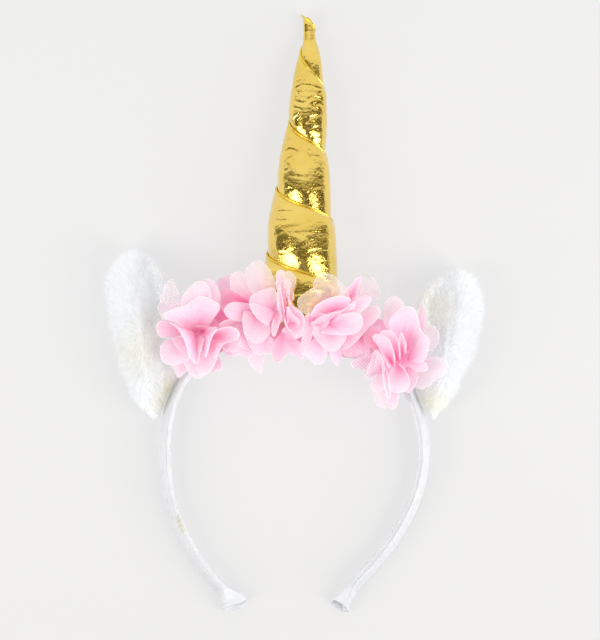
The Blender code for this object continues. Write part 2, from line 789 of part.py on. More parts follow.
def main():
    clear_scene()
    satin = material("satin_white", (0.86, 0.84, 0.79), 0.42, sheen=0.3)
    lame = material("gold_lame", (0.78, 0.55, 0.22), 0.32, metallic=1.0)
    cord_gold = material("gold_cord", (0.9, 0.66, 0.25), 0.28, metallic=1.0)
    chiffon = material("chiffon_pink", (0.93, 0.52, 0.6), 0.65, sheen=0.4)
    fur = material("fur_white", (0.9, 0.89, 0.86), 0.9, sheen=0.6)
    cream = material("fur_cream", (0.78, 0.7, 0.56), 0.9, sheen=0.4)

    frames = band_frames()
    objects = [make_band(frames, satin)]
    band = objects[0]
    objects.append(make_ribbon_end("ribbon_end_left", frames[0], -1.0, END_LEFT, satin))
    objects.append(make_ribbon_end("ribbon_end_right", frames[-1], 1.0, END_RIGHT, satin))
    horn = make_horn(frames, lame)
    objects.append(horn)
    cord = make_cord(horn, cord_gold)
    objects.append(cord)

    cover = Cover()
    cover.add(band)
    strip = make_strip(frames, cover, chiffon)
    objects.append(strip)
    cover.add(strip)
    for side in ("left", "right"):
        ear = make_ear_fur(side, fur)
        objects.append(ear)
        cover.add(ear)
        lining = make_lining(side, cover, cream)
        objects.append(lining)
        cover.add(lining)
    cover.add(horn)
    cover.add(cord)
    for layer in ("outer", "middle", "inner"):
        for number in ("1", "4", "2", "3"):
            petals = make_flower_layer(number, layer, cover, chiffon)
            objects.append(petals)
            cover.add(petals)
    settle(objects)


main()
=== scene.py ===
"""Unicorn horn headband: the cloth, cord, petals and fur of every piece, and the studio.

Tables give x and y in pixels of the photograph, and heights and thicknesses in mm.
"""
import math

import bpy
import numpy as np
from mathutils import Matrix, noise


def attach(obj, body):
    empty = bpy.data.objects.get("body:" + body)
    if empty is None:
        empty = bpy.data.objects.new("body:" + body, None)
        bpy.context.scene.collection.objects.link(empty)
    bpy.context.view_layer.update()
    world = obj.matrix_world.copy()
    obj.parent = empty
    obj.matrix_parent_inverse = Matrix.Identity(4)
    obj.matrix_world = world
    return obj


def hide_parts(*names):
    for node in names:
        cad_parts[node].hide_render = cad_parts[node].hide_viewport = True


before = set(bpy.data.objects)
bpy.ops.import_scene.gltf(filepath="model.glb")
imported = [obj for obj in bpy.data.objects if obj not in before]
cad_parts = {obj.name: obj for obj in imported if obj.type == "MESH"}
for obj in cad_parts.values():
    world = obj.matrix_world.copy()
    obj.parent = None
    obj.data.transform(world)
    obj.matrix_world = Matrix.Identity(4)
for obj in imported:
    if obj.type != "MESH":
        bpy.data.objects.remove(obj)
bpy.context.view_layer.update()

MM = 0.001

# One pixel of the photograph is this many mm on the object, and the origin lies here in it.
PIXEL = 0.52
ORIGIN_PIXEL = (295.06, 315.29)
# All x are moved by this many mm, to put the origin under the object's middle.
SHIFT_X = 0.06
PHOTO_MIDDLE = (300, 320)
PHOTO_HEIGHT = 640

# The camera looks straight down from this far up, in metres, and the picture is to scale
# at this height above the floor.
CAMERA_HEIGHT = 3.0
TRUE_SCALE_HEIGHT = 0.012
SENSOR_MM = 36.0

# Middle line of the band. x and y in the photograph, height in mm, lean in degrees
BAND_LINE = [
    (224, 592, 5.6, 20), (212, 580, 5.6, 20), (194, 555, 5.7, 20), (178, 524, 6.0, 20),
    (168, 491, 6.6, 20), (165, 460, 7.2, 20), (166, 430, 7.9, 20), (173, 400, 8.7, 19),
    (188, 373, 9.8, 17), (215, 349, 11.2, 13), (250, 333.5, 12.5, 9), (295, 328, 13.0, 8),
    (340, 333.5, 12.5, 9), (380, 352, 11.2, 13), (404, 381, 9.6, 17), (417, 410, 8.5, 19),
    (423.5, 440, 7.6, 20), (423, 468, 7.0, 20), (416, 497, 6.4, 20), (405, 521, 6.1, 20),
    (391, 544, 5.8, 20), (374, 565, 5.6, 20), (352, 589, 5.6, 20),
]
BAND_SAMPLES = 600
BAND_HALF_THICK = 2.0
BAND_HALF_WIDE = 5.25
# 1 gives an oval section, 0 a square one
BAND_ROUNDNESS = 0.42
# Length that the crinkles are spread over, and the half size of section that they swell.
# Then the height of the long and short crinkles, with their sizes, all in mm
CRINKLE_RUN = 620.0
CRINKLE_BASE = 3.5
LONG_CRINKLES = (0.16, 5.0)
SHORT_CRINKLES = (0.1, 2.2)
# The seam: its place and half width round the section, as shares of a turn, and its height
SEAM_AT = 0.2
SEAM_SPREAD = 0.018
SEAM_HEIGHT = 0.45
# Rubbed places on the band. x and y in the photograph, reach in mm, strength
STAINS = [
    (177.5, 517, 1.1, 0.8), (179, 521, 1.3, 0.9), (181, 526, 1.3, 0.9), (183, 531, 1.2, 0.7),
    (169, 447, 1.0, 0.4), (171, 467, 1.0, 0.3),
]
STAIN_LOWEST_Z = 4.0

# The ribbon that carries on past each end of the band as an open sleeve.
# x and y in the photograph, half width across and half height in mm
RIBBONS = {
    "left": [(228.6, 596.5, 3.9, 4.9), (233.3, 603.5, 6.4, 4.4), (235, 611.3, 6.6, 3.9)],
    "right": [(347.6, 595.5, 3.4, 4.9), (342.6, 602, 4.0, 4.4), (338, 610.3, 5.0, 4.0)],
}
SLEEVE_OVERLAP = 16.0
SLEEVE_EASE = 0.15
SLEEVE_SINK = 0.9
SLEEVE_SAMPLES = 80
SLEEVE_WALL = 0.5
# Share of the cloth that is outside, before it turns in at the mouth
MOUTH_AT = 0.62
# How far the upper lip of each mouth is cut back, and how far its side corners are rounded
LIP_SETBACKS = {"left": 3.0, "right": 3.6}
MOUTH_ROUNDING = {"left": 2.6, "right": 1.4}
# Share of the way along from which a sleeve opens, and how far its mouth turns in
OPENS_FROM = 0.6
POCKET_DEPTH = 6.0
FLOOR_CLEARANCE = 0.05

# Outline of the horn from its tip. y and x of the middle in the photograph, width in pixels
HORN_ROWS = [
    (16, 306.5, 4), (18, 307.3, 8), (23, 308.5, 10.2), (31, 309.2, 11), (40, 309.6, 12.6),
    (46, 310.2, 16), (52, 309.8, 20.5), (62, 309.5, 25), (79, 309, 31), (96, 308.5, 35),
    (120, 307.7, 39.5), (137, 306.3, 42.6), (156, 303.9, 47), (175, 303.3, 52.5),
    (200, 302.4, 59), (225, 301.2, 66), (253, 301.3, 71.5), (280, 301.6, 76), (324, 301.6, 77),
]
HORN_TIP_PIXEL = 16
HORN_LOWEST_Y = -3.0
# Depth of the horn as a share of its width. Where its half width is under this many mm,
# it gets rounder towards the tip.
HORN_DEPTH_SHARE = 0.86
ROUND_HALF_WIDTH = 9
HORN_BACK_Z = 1.5
# Outer side of the band from its middle line, where the horn is fitted to it
BAND_OUTER_SIDE = 3.05
HORN_ARCH = slice(200, 400)
# Turns of the cord counted from the left edge over the front, and its y there
CORD_TURNS = [
    (-1.05, 14.5), (-0.75, 18.5), (-0.5, 28), (0.0, 48), (0.5, 90), (1.0, 121), (1.5, 157),
    (2.0, 189), (2.5, 222), (3.0, 254), (3.5, 290), (3.8, 309),
]
GROOVE_DEPTH = 1.5
FULL_GROOVE_HALF_WIDTH = 8.0
CROWN_FRONT = 3.6
CROWN_SIDE = 1.6
FULL_CROWN_HALF_WIDTH = 11.0
# Where each turn of the horn starts to drop, and where the drop gets steep, as a share of the
# way from one groove to the next, at each place from the left edge over the front to the right
# edge. ABOVE is for the turns in the upper half of the horn.
DROP_PLACES = [0.0, 0.2, 0.5, 0.8, 1.0]
DROP_STARTS = [0.42, 0.44, 0.55, 0.2, 0.12]
DROP_STEEPENS = [0.74, 0.76, 0.8, 0.66, 0.6]
DROP_STARTS_ABOVE = [0.8, 0.76, 0.5, 0.1, 0.05]
DROP_STEEPENS_ABOVE = [0.93, 0.92, 0.88, 0.8, 0.72]
# Share of the height that is lost in the gentle part of the drop
GENTLE_DROP = 0.32
GENTLE_DROP_ABOVE = 0.46
ABOVE_FROM_Y = 84.0
ABOVE_BLEND = 8.0
# The cloth gets rougher from one y over a length, and smoother again towards the tip
ROUGH_FROM_Y = 68.0
ROUGH_BLEND = 30.0
SMOOTH_TIP_Y = 150.0
SMOOTH_TIP_BLEND = 20.0
# Waves in the gold cloth: how dense they are round the horn and along it, and their size in
# mm, all on a round of this radius
PUCKERS = (2.0, 0.8, 5.0)
CRUMPLES = (0.5, 1.4, 2.4)
CREASES = (0.6, 1.3, 7.0)
RELIEF_RADIUS = 14
# How near a groove the cloth puckers, as a share of the way to the next one
NEAR_GROOVE = 0.14
CORD_RADIUS = 0.55
CORD_SAMPLES = 1200
CORD_LOWEST_Z = 0.8
# Length of cord in which its strands go round once
TWIST_PITCH = 3.2
LOOSE_END = 1.4

# The ruffled strip under the flowers. x in the photograph, mm to the inside and outside
STRIP_ROWS = [
    (190, 4.0, 9.0), (205, 5.0, 15.0), (222, 2.5, 23.0), (240, 6.0, 22.0), (254, 11.0, 14.0),
    (264, 12.0, 2.2), (300, 13.0, 2.2), (340, 12.0, 2.2), (350, 11.0, 11.0), (368, 9.0, 15.0),
    (384, 8.0, 14.0), (396, 4.0, 8.0),
]
STRIP_ARCH = slice(170, 430)
STRIP_LIFT = 6.6
RUFFLE_LIFT = 0.5
STRIP_SAG = 0.0025
STRIP_PINK = 0.7
STRIP_WALL = 0.25
RUFFLE_HEIGHT = 2.2

# Each petal: the middle of its base, the points of its rim from one side to the other,
# its bulge in mm, and how strong its pink is. Points are x, y in the photograph, z in mm.
PETALS = {
    ("1", "outer"): [
        ((196, 326, 21.5), [(161, 303, 23), (161, 296, 24), (171.6, 279, 26), (179, 294, 26)], 0.5, 0.05),
        ((190, 326, 21.5), [(163, 320, 23), (158, 306, 23), (168, 300, 24), (180, 304, 24)], 0.5, 0.15),
        ((206, 326, 22), [(200, 300, 26), (203, 281, 30), (212, 280, 31), (219.5, 290, 31),
         (220.5, 303, 29), (215, 312, 27)], 1.0, 0.25),
        ((201, 326, 22.5), [(183, 312, 25), (182, 300, 28), (189, 288, 31), (197, 281.5, 32),
         (205, 282, 32), (210.5, 290, 32), (212.5, 302, 30), (212, 312, 28)], 1.2, 0.2),
        ((197, 338, 22), [(174, 337, 26), (163, 343, 27), (160.5, 350, 28), (163, 361, 27),
         (171, 365, 27), (180, 364, 27), (190, 360, 26)], 1.0, 0.35),
        ((197, 345, 21.5), [(170, 364, 22), (175, 371, 22), (179, 378, 22), (186, 372, 22.5),
         (195, 364, 23)], 0.4, 0.3),
        ((200, 346, 22), [(184, 362, 25), (187, 370, 26), (193, 376, 26.5), (199, 378.5, 26),
         (204, 376, 26), (209, 371, 26), (211, 362, 25)], 1.0, 0.25),
        ((212, 350, 22), [(208, 371, 23), (213, 372, 23), (219, 371, 23.5), (223, 368, 24),
         (222, 361, 24), (218, 355, 24)], 0.6, 0.35),
        ((212, 340, 24), [(225, 351, 27), (232, 352, 27), (237, 351, 27.5), (241, 346, 28),
         (241.5, 338, 28), (238, 332, 28)], 0.8, 0.25),
        ((206, 345, 24), [(195, 366, 26), (200, 374, 27), (208, 374, 28), (214, 367, 30), (218, 357, 31),
         (219, 348, 31)], 1.0, 0.3),
    ],
    ("1", "middle"): [
        ((199, 331, 24), [(183.5, 326, 30), (163.2, 316, 33), (174, 309, 34), (186, 305.5, 34),
         (201, 296, 34), (212, 299.5, 34), (221.3, 306.7, 33), (213, 320, 29),
         (209, 326, 27)], 1.5, 0.33),
        ((199, 332, 24), [(176, 326, 27), (163, 320, 31), (157, 327, 30), (161, 337, 29),
         (172, 337, 27)], 0.5, 0.55),
        ((192, 338, 26), [(178, 337, 29), (173.4, 337, 30), (175, 344, 31), (181, 351.5, 31),
         (189, 358, 31), (192, 352, 30)], 0.8, 0.2),
    ],
    ("1", "inner"): [
        ((197, 333, 25), [(170, 322, 35), (178, 328, 37), (184, 337, 38), (188, 347, 38), (191, 358, 37),
         (198.5, 364, 36), (201, 352, 34), (206, 338, 30)], -1.5, 0.45),
        ((203, 334, 25), [(201, 345, 30), (203, 355, 32), (206.5, 357, 34), (209, 350, 36),
         (211, 342, 37), (214, 335, 37), (218.5, 327.5, 36), (211, 327, 31)], -1.0, 0.45),
        ((207, 337, 25), [(215, 331, 36), (222, 328, 38), (230.5, 326.5, 38), (238, 329.5, 37),
         (240, 335.5, 36), (236.5, 340, 35), (224, 344, 34), (219, 354, 33), (213, 360, 31)], -1.5, 0.5),
        ((202, 332, 24), [(195, 326, 28), (201, 325, 29), (208, 326, 29), (214, 329, 30), (207, 335, 28),
         (200, 337, 27)], 0.3, 0.8),
    ],
    ("2", "outer"): [
        ((245, 305, 23), [(221, 303, 24), (216, 283, 25), (233, 274, 26), (240, 285, 26)], 0.8, 0.5),
        ((252, 306, 23), [(224, 312, 24.5), (219, 303, 25), (220, 289, 26), (234, 289, 27),
         (250, 296, 27)], 0.8, 0.8),
        ((256, 305, 25), [(236, 292, 28), (231, 289, 29), (231, 276, 30), (239.7, 271, 31),
         (247, 275, 31), (250, 290, 29)], 1.0, 0.2),
        ((248, 338, 22), [(226, 346, 23), (224, 351, 23), (230, 357.5, 23.5), (239, 354.5, 23.5),
         (247, 358, 24), (254, 352, 24)], 0.5, 0.35),
        ((260, 338, 23), [(247, 352, 24), (250, 364, 24), (258, 372, 24), (262, 371, 24.5),
         (264, 356, 25)], 0.5, 0.2),
        ((284, 330, 24), [(270, 345, 25), (273, 358, 25), (278.5, 363, 25), (284, 358, 26),
         (289, 353, 26), (296, 356, 25.5), (303, 359, 25), (304, 345, 25)], 0.8, 0.6),
        ((252, 322, 25), [(222, 331, 27), (219, 325, 28), (226, 320, 29), (238, 318, 29)], 0.8, 0.45),
        ((254, 325, 25), [(236, 322, 27), (236, 335, 28), (240, 347, 28), (250, 350, 28)], 0.8, 0.5),
        ((261, 325, 27), [(246, 334, 29), (248, 342, 30), (253, 351, 31), (258.5, 355.5, 31),
         (266, 353.5, 31), (274.5, 351, 31), (273, 338, 30)], 1.0, 0.3),
        ((264, 306, 27), [(251, 292, 31), (246.5, 280, 33), (246, 270, 35), (253, 262, 36),
         (259, 260.5, 36), (267, 266, 37), (273, 276, 37), (277, 289, 35)], 1.2, 0.15),
    ],
    ("2", "middle"): [
        ((256, 312, 28), [(246, 322, 31), (238, 321.5, 32), (229, 318, 33), (224.5, 311.5, 34),
         (227, 305.5, 34), (233.5, 302, 34), (242, 302.5, 33), (250, 304, 32)], 1.0, 0.3),
        ((258, 314, 30), [(245, 310, 33), (243, 318, 35), (243.5, 328, 36), (246, 337, 36),
         (252, 342, 36), (259, 343, 36), (265, 340, 36), (271, 331.5, 35), (268, 322, 34)], 1.2, 0.25),
        ((286, 318, 34), [(283, 312, 36), (279, 296, 37), (278, 282, 38), (281, 277, 38.5),
         (284.5, 290, 38.5), (286.5, 304, 38)], -0.3, 0.75),
        ((284, 314, 36), [(279, 300, 37.5), (276.5, 285, 38.5), (276.6, 273, 39), (280.5, 270.3, 39.5),
         (284.5, 272.5, 39.5), (284, 283, 39.3), (284.6, 295, 39)], -0.3, 0.3),
        ((289, 306, 36), [(284, 292, 38), (283.5, 280, 39), (285.5, 272.5, 40), (289.5, 271.8, 40),
         (293, 274, 40), (296, 279, 40), (295, 285, 40), (293.3, 291, 39.5), (294, 299, 39)], 0.5, 0.12),
        ((290, 322, 33), [(282, 330, 34), (282.4, 334.4, 35), (287, 338, 36), (293.3, 339.3, 36),
         (300, 337.3, 36), (303.6, 333.8, 36), (303, 327, 35)], 0.6, 0.45),
        ((289, 303, 38), [(286.5, 296, 40), (284.8, 286, 40.6), (285, 279.5, 41), (287.5, 278.7, 41),
         (290.3, 282, 41), (290.7, 287, 41), (289.4, 294, 40.6)], 0.3, 0.12),
    ],
    ("2", "inner"): [
        ((288, 322, 34.5), [(279, 322, 35.5), (281, 311, 36), (290, 306, 36.5), (300, 310, 36.5),
         (305, 320, 36), (301, 330, 35.5), (288, 333, 35)], 0.3, 0.6),
        ((272, 312, 32), [(268, 326, 36), (259, 320, 37), (252, 311, 38), (249.5, 302, 38),
         (253, 295, 38), (263, 290, 38.5), (274, 288, 38.5), (278, 297, 38)], 1.2, 0.2),
        ((275, 311, 35), [(269, 326, 37), (259, 320, 38.5), (252, 310, 39), (251, 303, 39),
         (262, 306, 39)], 0.6, 0.1),
        ((279, 312, 33), [(277.6, 311.5, 36), (281.8, 315, 37), (279.5, 325, 37.5), (274.6, 336.7, 37.5),
         (271.5, 331, 37), (273, 320, 36)], 0.4, 0.3),
        ((284, 318, 35), [(281.5, 314, 38), (277.8, 308, 39.5), (277.3, 297, 40.3), (279.6, 285, 40.8),
         (281, 290, 40.8), (283, 302, 40.5), (285, 312, 39.5)], -0.6, 0.2),
        ((292, 322, 35), [(284.5, 318, 38), (285, 324, 38.5), (288, 329, 39), (293.3, 334.4, 39.5),
         (297, 335.6, 39.5), (302.5, 331, 39.5), (304.2, 324, 39.5), (304, 317, 39.5), (301, 312, 39.5),
         (296, 310, 39.5), (291, 303, 39.8), (287.5, 295, 40)], -1.5, 0.5),
        ((290, 324, 36.5), [(287.6, 322, 38), (287.2, 314, 39.3), (287.8, 305.5, 40), (291, 311, 40),
         (295, 316, 40), (299.3, 319.5, 39.8), (300, 324, 39.3), (296, 329, 38.6),
         (291, 330, 38)], 0.4, 0.35),
    ],
    ("3", "outer"): [
        ((356, 305, 23), [(361, 290, 24), (362, 278, 25), (372, 277, 25), (378, 285, 25), (380, 294, 25),
         (374, 303, 25)], 0.5, 0.1),
        ((352, 330, 23.5), [(362, 356, 24), (370, 353, 24), (376, 343, 24.5), (375, 330, 25),
         (368, 322, 25)], 0.6, 0.85),
        ((346, 332, 24), [(340, 350, 24.5), (345, 356, 24.5), (353, 357, 24.5), (361, 355, 25),
         (363, 345, 25), (360, 336, 25.5)], 0.6, 0.3),
        ((334, 335, 24), [(328, 350, 25), (332, 360, 25), (338, 366, 25), (341, 358, 25),
         (342, 348, 25)], 0.5, 0.4),
        ((318, 335, 25), [(306, 345, 26), (305.5, 355, 26), (311, 361, 26), (316, 365, 26),
         (324, 361, 26), (328, 350, 26)], 0.6, 0.35),
        ((360, 336, 25), [(357, 350, 26), (363, 354, 26.5), (370, 352.5, 26.5),
         (367, 343, 26)], 0.4, 0.45),
        ((346, 326, 27), [(366, 309, 30), (374, 304, 31), (380, 311, 32), (377, 319, 32), (368, 328, 32),
         (360, 337, 32), (350, 346.5, 32), (343, 350, 31)], 1.0, 0.25),
        ((346, 306, 27), [(344, 294, 30), (348, 287, 32), (359, 275.5, 33), (361.5, 279, 33),
         (358, 290, 32), (355, 300, 30)], 0.6, 0.45),
        ((332, 306, 35), [(316, 297, 37), (313, 286, 38), (314.5, 281, 38.6), (317.4, 277, 39),
         (322, 274.4, 39), (326.6, 273.8, 39), (333, 276, 39), (342, 284, 37), (348, 293, 36),
         (346, 300, 35)], 0.8, 0.06),
        ((322, 310, 37), [(312.8, 318.3, 38), (304.8, 313.7, 39), (299, 308, 39.5), (297.3, 302.2, 39.7),
         (298.5, 298.2, 39.7), (302.5, 294.8, 39.7), (308.2, 291.3, 39.6), (314, 288.4, 39.5),
         (322, 294, 39)], 0.6, 0.05),
    ],
    ("3", "middle"): [
        ((344, 313, 32), [(350, 303, 34), (356, 298.5, 35), (366, 295, 35.5), (371, 299, 35.5),
         (368, 305, 35), (362, 311, 34.5), (352, 316, 34)], 0.8, 0.3),
        ((314, 322, 34), [(306, 321, 37), (303, 330, 38), (301, 343, 38), (300, 351, 38),
         (304, 355, 37.5), (309, 345, 36), (313, 333, 35)], 0.5, 0.3),
        ((330, 326, 33), [(312, 325, 36), (311.5, 330, 37), (314, 337, 38), (320, 345, 38),
         (329, 351, 38), (338, 349, 38), (345, 340, 37), (346, 334, 36)], 1.2, 0.3),
    ],
    ("3", "inner"): [
        ((316, 322, 36), [(304, 328, 37), (305, 316, 37.5), (314, 311, 38), (325, 314, 38),
         (329, 323, 37.5), (320, 331, 37)], 0.3, 0.7),
        ((335, 312, 35), [(317, 318.5, 37), (311, 316, 39), (315, 306.5, 40.5), (322, 301.5, 41.5),
         (332, 297.5, 42), (341, 296, 42), (350, 298.5, 41), (349, 305, 38)], -1.5, 0.5),
        ((338, 317, 36), [(312, 326, 39), (311, 323, 40.5), (322, 316, 41.5), (335, 311.5, 42),
         (343, 309.5, 42), (355, 301, 41), (354, 309, 39)], 0.5, 0.2),
        ((328, 324, 36), [(339, 314.5, 40), (350, 312.5, 41), (359, 313.5, 41), (362.5, 321, 41),
         (360, 329, 41), (352, 334.5, 40), (339, 335, 40), (326, 334, 39), (320, 332, 38)], 1.0, 0.3),
    ],
    ("4", "outer"): [
        ((414, 352, 24), [(424, 326, 27), (430, 325, 28), (437, 330, 28.5), (438, 340, 28.5),
         (433, 349, 28), (425, 352, 27)], 0.4, 0.12),
        ((388, 352, 24), [(380, 326, 27.5), (370, 328, 27.5), (363, 336, 27.5), (366, 345, 27.5),
         (373, 349, 27.5)], 0.3, 0.85),
        ((388, 378, 22), [(373, 386, 22.5), (374, 396, 22.5), (376, 405, 22.5), (386, 408, 22.5),
         (391, 398, 23)], 0.4, 0.15),
        ((412, 362, 22.5), [(424, 357, 25), (433, 356, 26), (440, 358, 26.5), (448, 366.5, 27),
         (441, 376, 26.5), (431, 383, 26), (421.5, 389, 25.5), (414, 386, 25)], 0.6, 0.15),
        ((394, 378, 23), [(384, 394, 23.5), (385, 401, 23.5), (388, 406, 23.5), (393, 409.5, 23.5),
         (397, 404, 24), (399, 395, 24)], 0.5, 0.35),
        ((415, 335, 24), [(417, 322, 26), (420, 310, 26.5), (421.5, 304, 27), (425, 311, 27),
         (426, 322, 27), (423, 332, 26)], 0.3, 0.3),
        ((397, 337, 23), [(385, 327, 26), (381.5, 318, 27), (382, 309, 28), (385, 301.5, 28),
         (393, 296, 28), (400, 299, 28), (404, 306, 28), (404, 318, 27)], 0.8, 0.2),
        ((382, 358, 24), [(369, 370, 26), (360, 369, 27), (352, 366.5, 27.5), (351, 362, 28),
         (358, 358, 28), (369, 353.5, 27)], 0.5, 0.3),
        ((390, 362, 26), [(377, 350, 29), (373, 356, 30), (367, 367, 30), (364, 375.5, 30),
         (369, 378.5, 30), (376, 370, 29)], 0.5, 0.3),
        ((392, 364, 26), [(380, 364, 29), (374, 374, 30.5), (370, 382, 31), (370.5, 387, 31),
         (374.5, 391, 31), (382, 390.5, 30), (387, 381, 29)], 0.6, 0.25),
        ((405, 366, 25), [(417, 369, 28), (417, 378, 29), (414, 386, 29), (409, 392.5, 29),
         (402, 390, 28)], 0.6, 0.3),
    ],
    ("4", "middle"): [
        ((406, 358, 26.5), [(421, 360, 31), (425.8, 363.5, 31.5), (426.6, 368, 31.5), (424.7, 371, 31.5),
         (416.3, 371.5, 31), (410, 367, 30)], 0.5, 0.3),
        ((405, 352, 27), [(392, 338, 30), (388, 322, 32), (395.3, 312.4, 33.5), (402.6, 307.1, 34.5),
         (409, 306.6, 35), (414.2, 309.2, 35), (417.4, 317.6, 35), (419.5, 330, 34.5),
         (420, 342, 33)], 1.0, 0.42),
        ((406, 360, 27), [(413, 338, 32), (418.5, 328, 34), (423, 334, 34.6), (428, 338.7, 35),
         (427.6, 348, 35), (425.5, 356, 34.6), (421.6, 361.8, 34), (414, 362, 32)], 1.0, 0.35),
        ((399, 361, 28), [(390, 368, 32), (387, 380, 34), (389, 390, 35), (394, 392.5, 35.5),
         (401, 391.5, 35.5), (406.5, 389, 35.5), (409, 382, 35.3), (407, 374.5, 35), (402.6, 368, 34),
         (397, 364, 33)], 0.8, 0.4),
    ],
    ("4", "inner"): [
        ((398, 362, 30), [(386, 352, 34), (379, 338, 36), (379.5, 332, 37), (384.7, 329.7, 37.5),
         (391, 331.3, 38), (396.3, 337.6, 38), (398.6, 349, 38), (399.4, 358, 37)], 0.6, 0.45),
        ((393, 366, 31), [(387.9, 368.7, 34), (383.7, 359.7, 36), (377.4, 346, 37), (371.5, 337.5, 37.6),
         (374.2, 334, 38.2), (381.6, 334.5, 39), (387.9, 338.7, 39.5), (392, 348, 39.5),
         (394.3, 358, 38.8), (392.8, 365, 37)], 1.0, 0.4),
        ((402, 358, 30), [(399, 354, 35), (398, 344, 38), (400, 332.4, 40), (402.5, 336, 40),
         (405.2, 344, 39.5), (405, 352, 38)], -0.6, 0.45),
        ((381, 372, 30), [(365.5, 376, 32), (368.5, 366, 34), (371.5, 355, 36), (374.7, 349.7, 37),
         (378, 351.5, 37.5), (382.6, 358.2, 37.5), (383.5, 364, 36)], 0.8, 0.3),
        ((383, 374, 30.5), [(373, 371, 33), (374.5, 362, 36), (377, 354.5, 38), (380.5, 357, 38.4),
         (383.2, 363, 38.2), (384, 372, 36)], 0.5, 0.3),
        ((385, 372, 31), [(381.5, 364, 37), (381.7, 375.5, 38), (383.5, 386, 38), (386, 395, 37.5),
         (388.5, 399, 37), (390, 392, 36.5), (388, 380, 36.5), (386, 368, 36)], -0.4, 0.1),
    ],
}
PETAL_WALL = 0.22
# A petal starts this share of the way to its rim, and stays this far over the horn
PETAL_ROOT = 0.08
OVER_HORN = 0.9
# Heights of the long and short waves in a petal, with their sizes, in mm
LONG_WAVES = (0.5, 4.5)
SHORT_WAVES = (0.25, 2.0)

# Fan of cloth that each flower is sewn on. x and y in the photograph, height in mm
FLOWER_FEET = {
    "1": (202, 332, 21.6), "2": (264, 312, 22.6), "3": (334, 314, 22.6), "4": (396, 354, 21.0),
}
FOOT_REACH = (20, 17)
FOOT_ANGLES = [-k * math.pi / 6 for k in range(13)]
FOOT_PINK = 0.8

# Outline of each ear. y, left x, right x in the photograph
EAR_ROWS = {
    "left": [
        (251, 133, 137), (262, 117, 151), (278, 105, 166), (292, 103.5, 172), (310, 106, 175),
        (328, 110.5, 178), (346, 113, 179), (371, 120, 181.8), (395, 131, 167.9),
        (414, 145, 162), (424, 154, 157),
    ],
    "right": [
        (271, 456, 466), (284, 432, 477), (300, 418, 484), (312, 413, 486), (332, 410, 480),
        (352, 405, 476), (369, 405.2, 467), (391, 416.6, 457), (405, 423.2, 446), (424, 430, 437),
    ],
}
# Cream lining in the hollow of each ear. x and y in the photograph
LININGS = {
    "left": [
        (150, 268), (163, 282), (167, 300), (168, 322), (168, 344), (160, 366), (150, 384),
        (143, 366), (141, 344), (140, 320), (140, 296), (143, 278),
    ],
    "right": [
        (446, 281), (450, 300), (447, 322), (446, 344), (443, 366), (437, 386), (428, 370),
        (421, 350), (419, 330), (420, 314), (426, 300), (436, 287),
    ],
}
# Thickness of each lining's cloth in mm
LINING_WALL = 0.6
# Height of the outer and inner roll of each ear in mm, and the place across the ear, from its
# outer side, of the outer roll, of the inner roll and of the hollow between them
EAR_ROLLS = {
    "left": (20.0, 14.0, 0.34, 0.90, 0.66),
    "right": (20.0, 13.0, 0.30, 0.92, 0.68),
}
# How far each roll and the hollow spread across the ear, and what share of its height shows
OUTER_ROLL_SPREAD = 0.24
INNER_ROLL_SPREAD = 0.13
HOLLOW_SPREAD = 0.3
OUTER_ROLL_SHARE = 0.85
INNER_ROLL_SHARE = 0.6
HOLLOW_HEIGHT = 12.0
EAR_FRONT_Z = 3.6
EAR_BACK_Z = 1.1
EAR_RIM_Z = 7.0
EAR_RIM_POWER = 2.6
# The pelt lies this far inside the outline of the ear, and this far under its front
PELT_INSET = 3.4
PELT_UNDER_FUR = 1.5

# Strands of fur and of the lining's pile, sizes in mm
STRANDS = 24000
STRAND_LENGTH = 6.2
STRAND_WIDTH = 0.28
PILE_STRANDS = 14000
PILE_LENGTH = 4.2
# Strands on a back face, as a share of those on a front face of the same area
BACK_STRANDS = 0.4
# Half way up, a strand is this share of its width at its root
STRAND_TAPER = 0.7
STRAND_TIP_LOWEST_Z = 0.4
STRAND_MIDDLE_LOWEST_Z = 0.5
# The way that the fur is combed, next to outwards, and how far its tips droop
COMBED = (0, -0.45, 0)
DROOP = (0, 0, -0.1)
# The first strands are tufts, and the others lean this share of the way to the nearest one
TUFTS = 1500
TUFT_PULL = 0.34
# Strands are shorter near the lowest point of an ear: their least share of the length, and
# the height in mm over which that share grows by 1
SHORTEST_STRAND = 0.35
SHORT_STRAND_REACH = 18
# Creamy places in the fur: the small spots low on each ear are where the brown backing shows, and the
# broad faint spots higher up in the hollow are painted shade. x and y in the photograph, reach in pixels,
# strength
CREAM_AND_SHADE_SPOTS = {
    "left": [(160, 402, 9, 0.4), (168, 384, 10, 0.5), (138, 352, 22, 0.2), (160, 325, 18, 0.15)],
    "right": [(430, 310, 22, 0.2), (432, 398, 14, 0.3)],
}

# Studio: brightness of the near and far walls, and the area lights in metres and watts
DIM_WALL = 0.13
DIM_WALL_TINT = (1.0, 0.85, 0.6)
BRIGHT_WALL = 0.92
WALL_BLEND = 0.06
SOFTBOX_POWER = 13.5
SOFT_LIGHTS = [
    ("softbox_left", (-1.0, -0.44, 0.78), (0.66, 1.2), SOFTBOX_POWER),
    ("softbox_right", (1.0, -0.44, 0.74), (0.7, 1.3), SOFTBOX_POWER * 1.25),
    ("near_card", (0.0, -0.5, 1.8), (0.45, 0.5), 0.35),
]
FLOOR_SIZE = 30


def photo_x(x):
    return (np.asarray(x, float) - ORIGIN_PIXEL[0]) * PIXEL + SHIFT_X


def photo_y(y):
    return (ORIGIN_PIXEL[1] - np.asarray(y, float)) * PIXEL


def placed(rows):
    """Rows that start with x and y in the photograph, with these in mm."""
    table = np.array(rows, float)
    table[:, 0] = photo_x(table[:, 0])
    table[:, 1] = photo_y(table[:, 1])
    return table


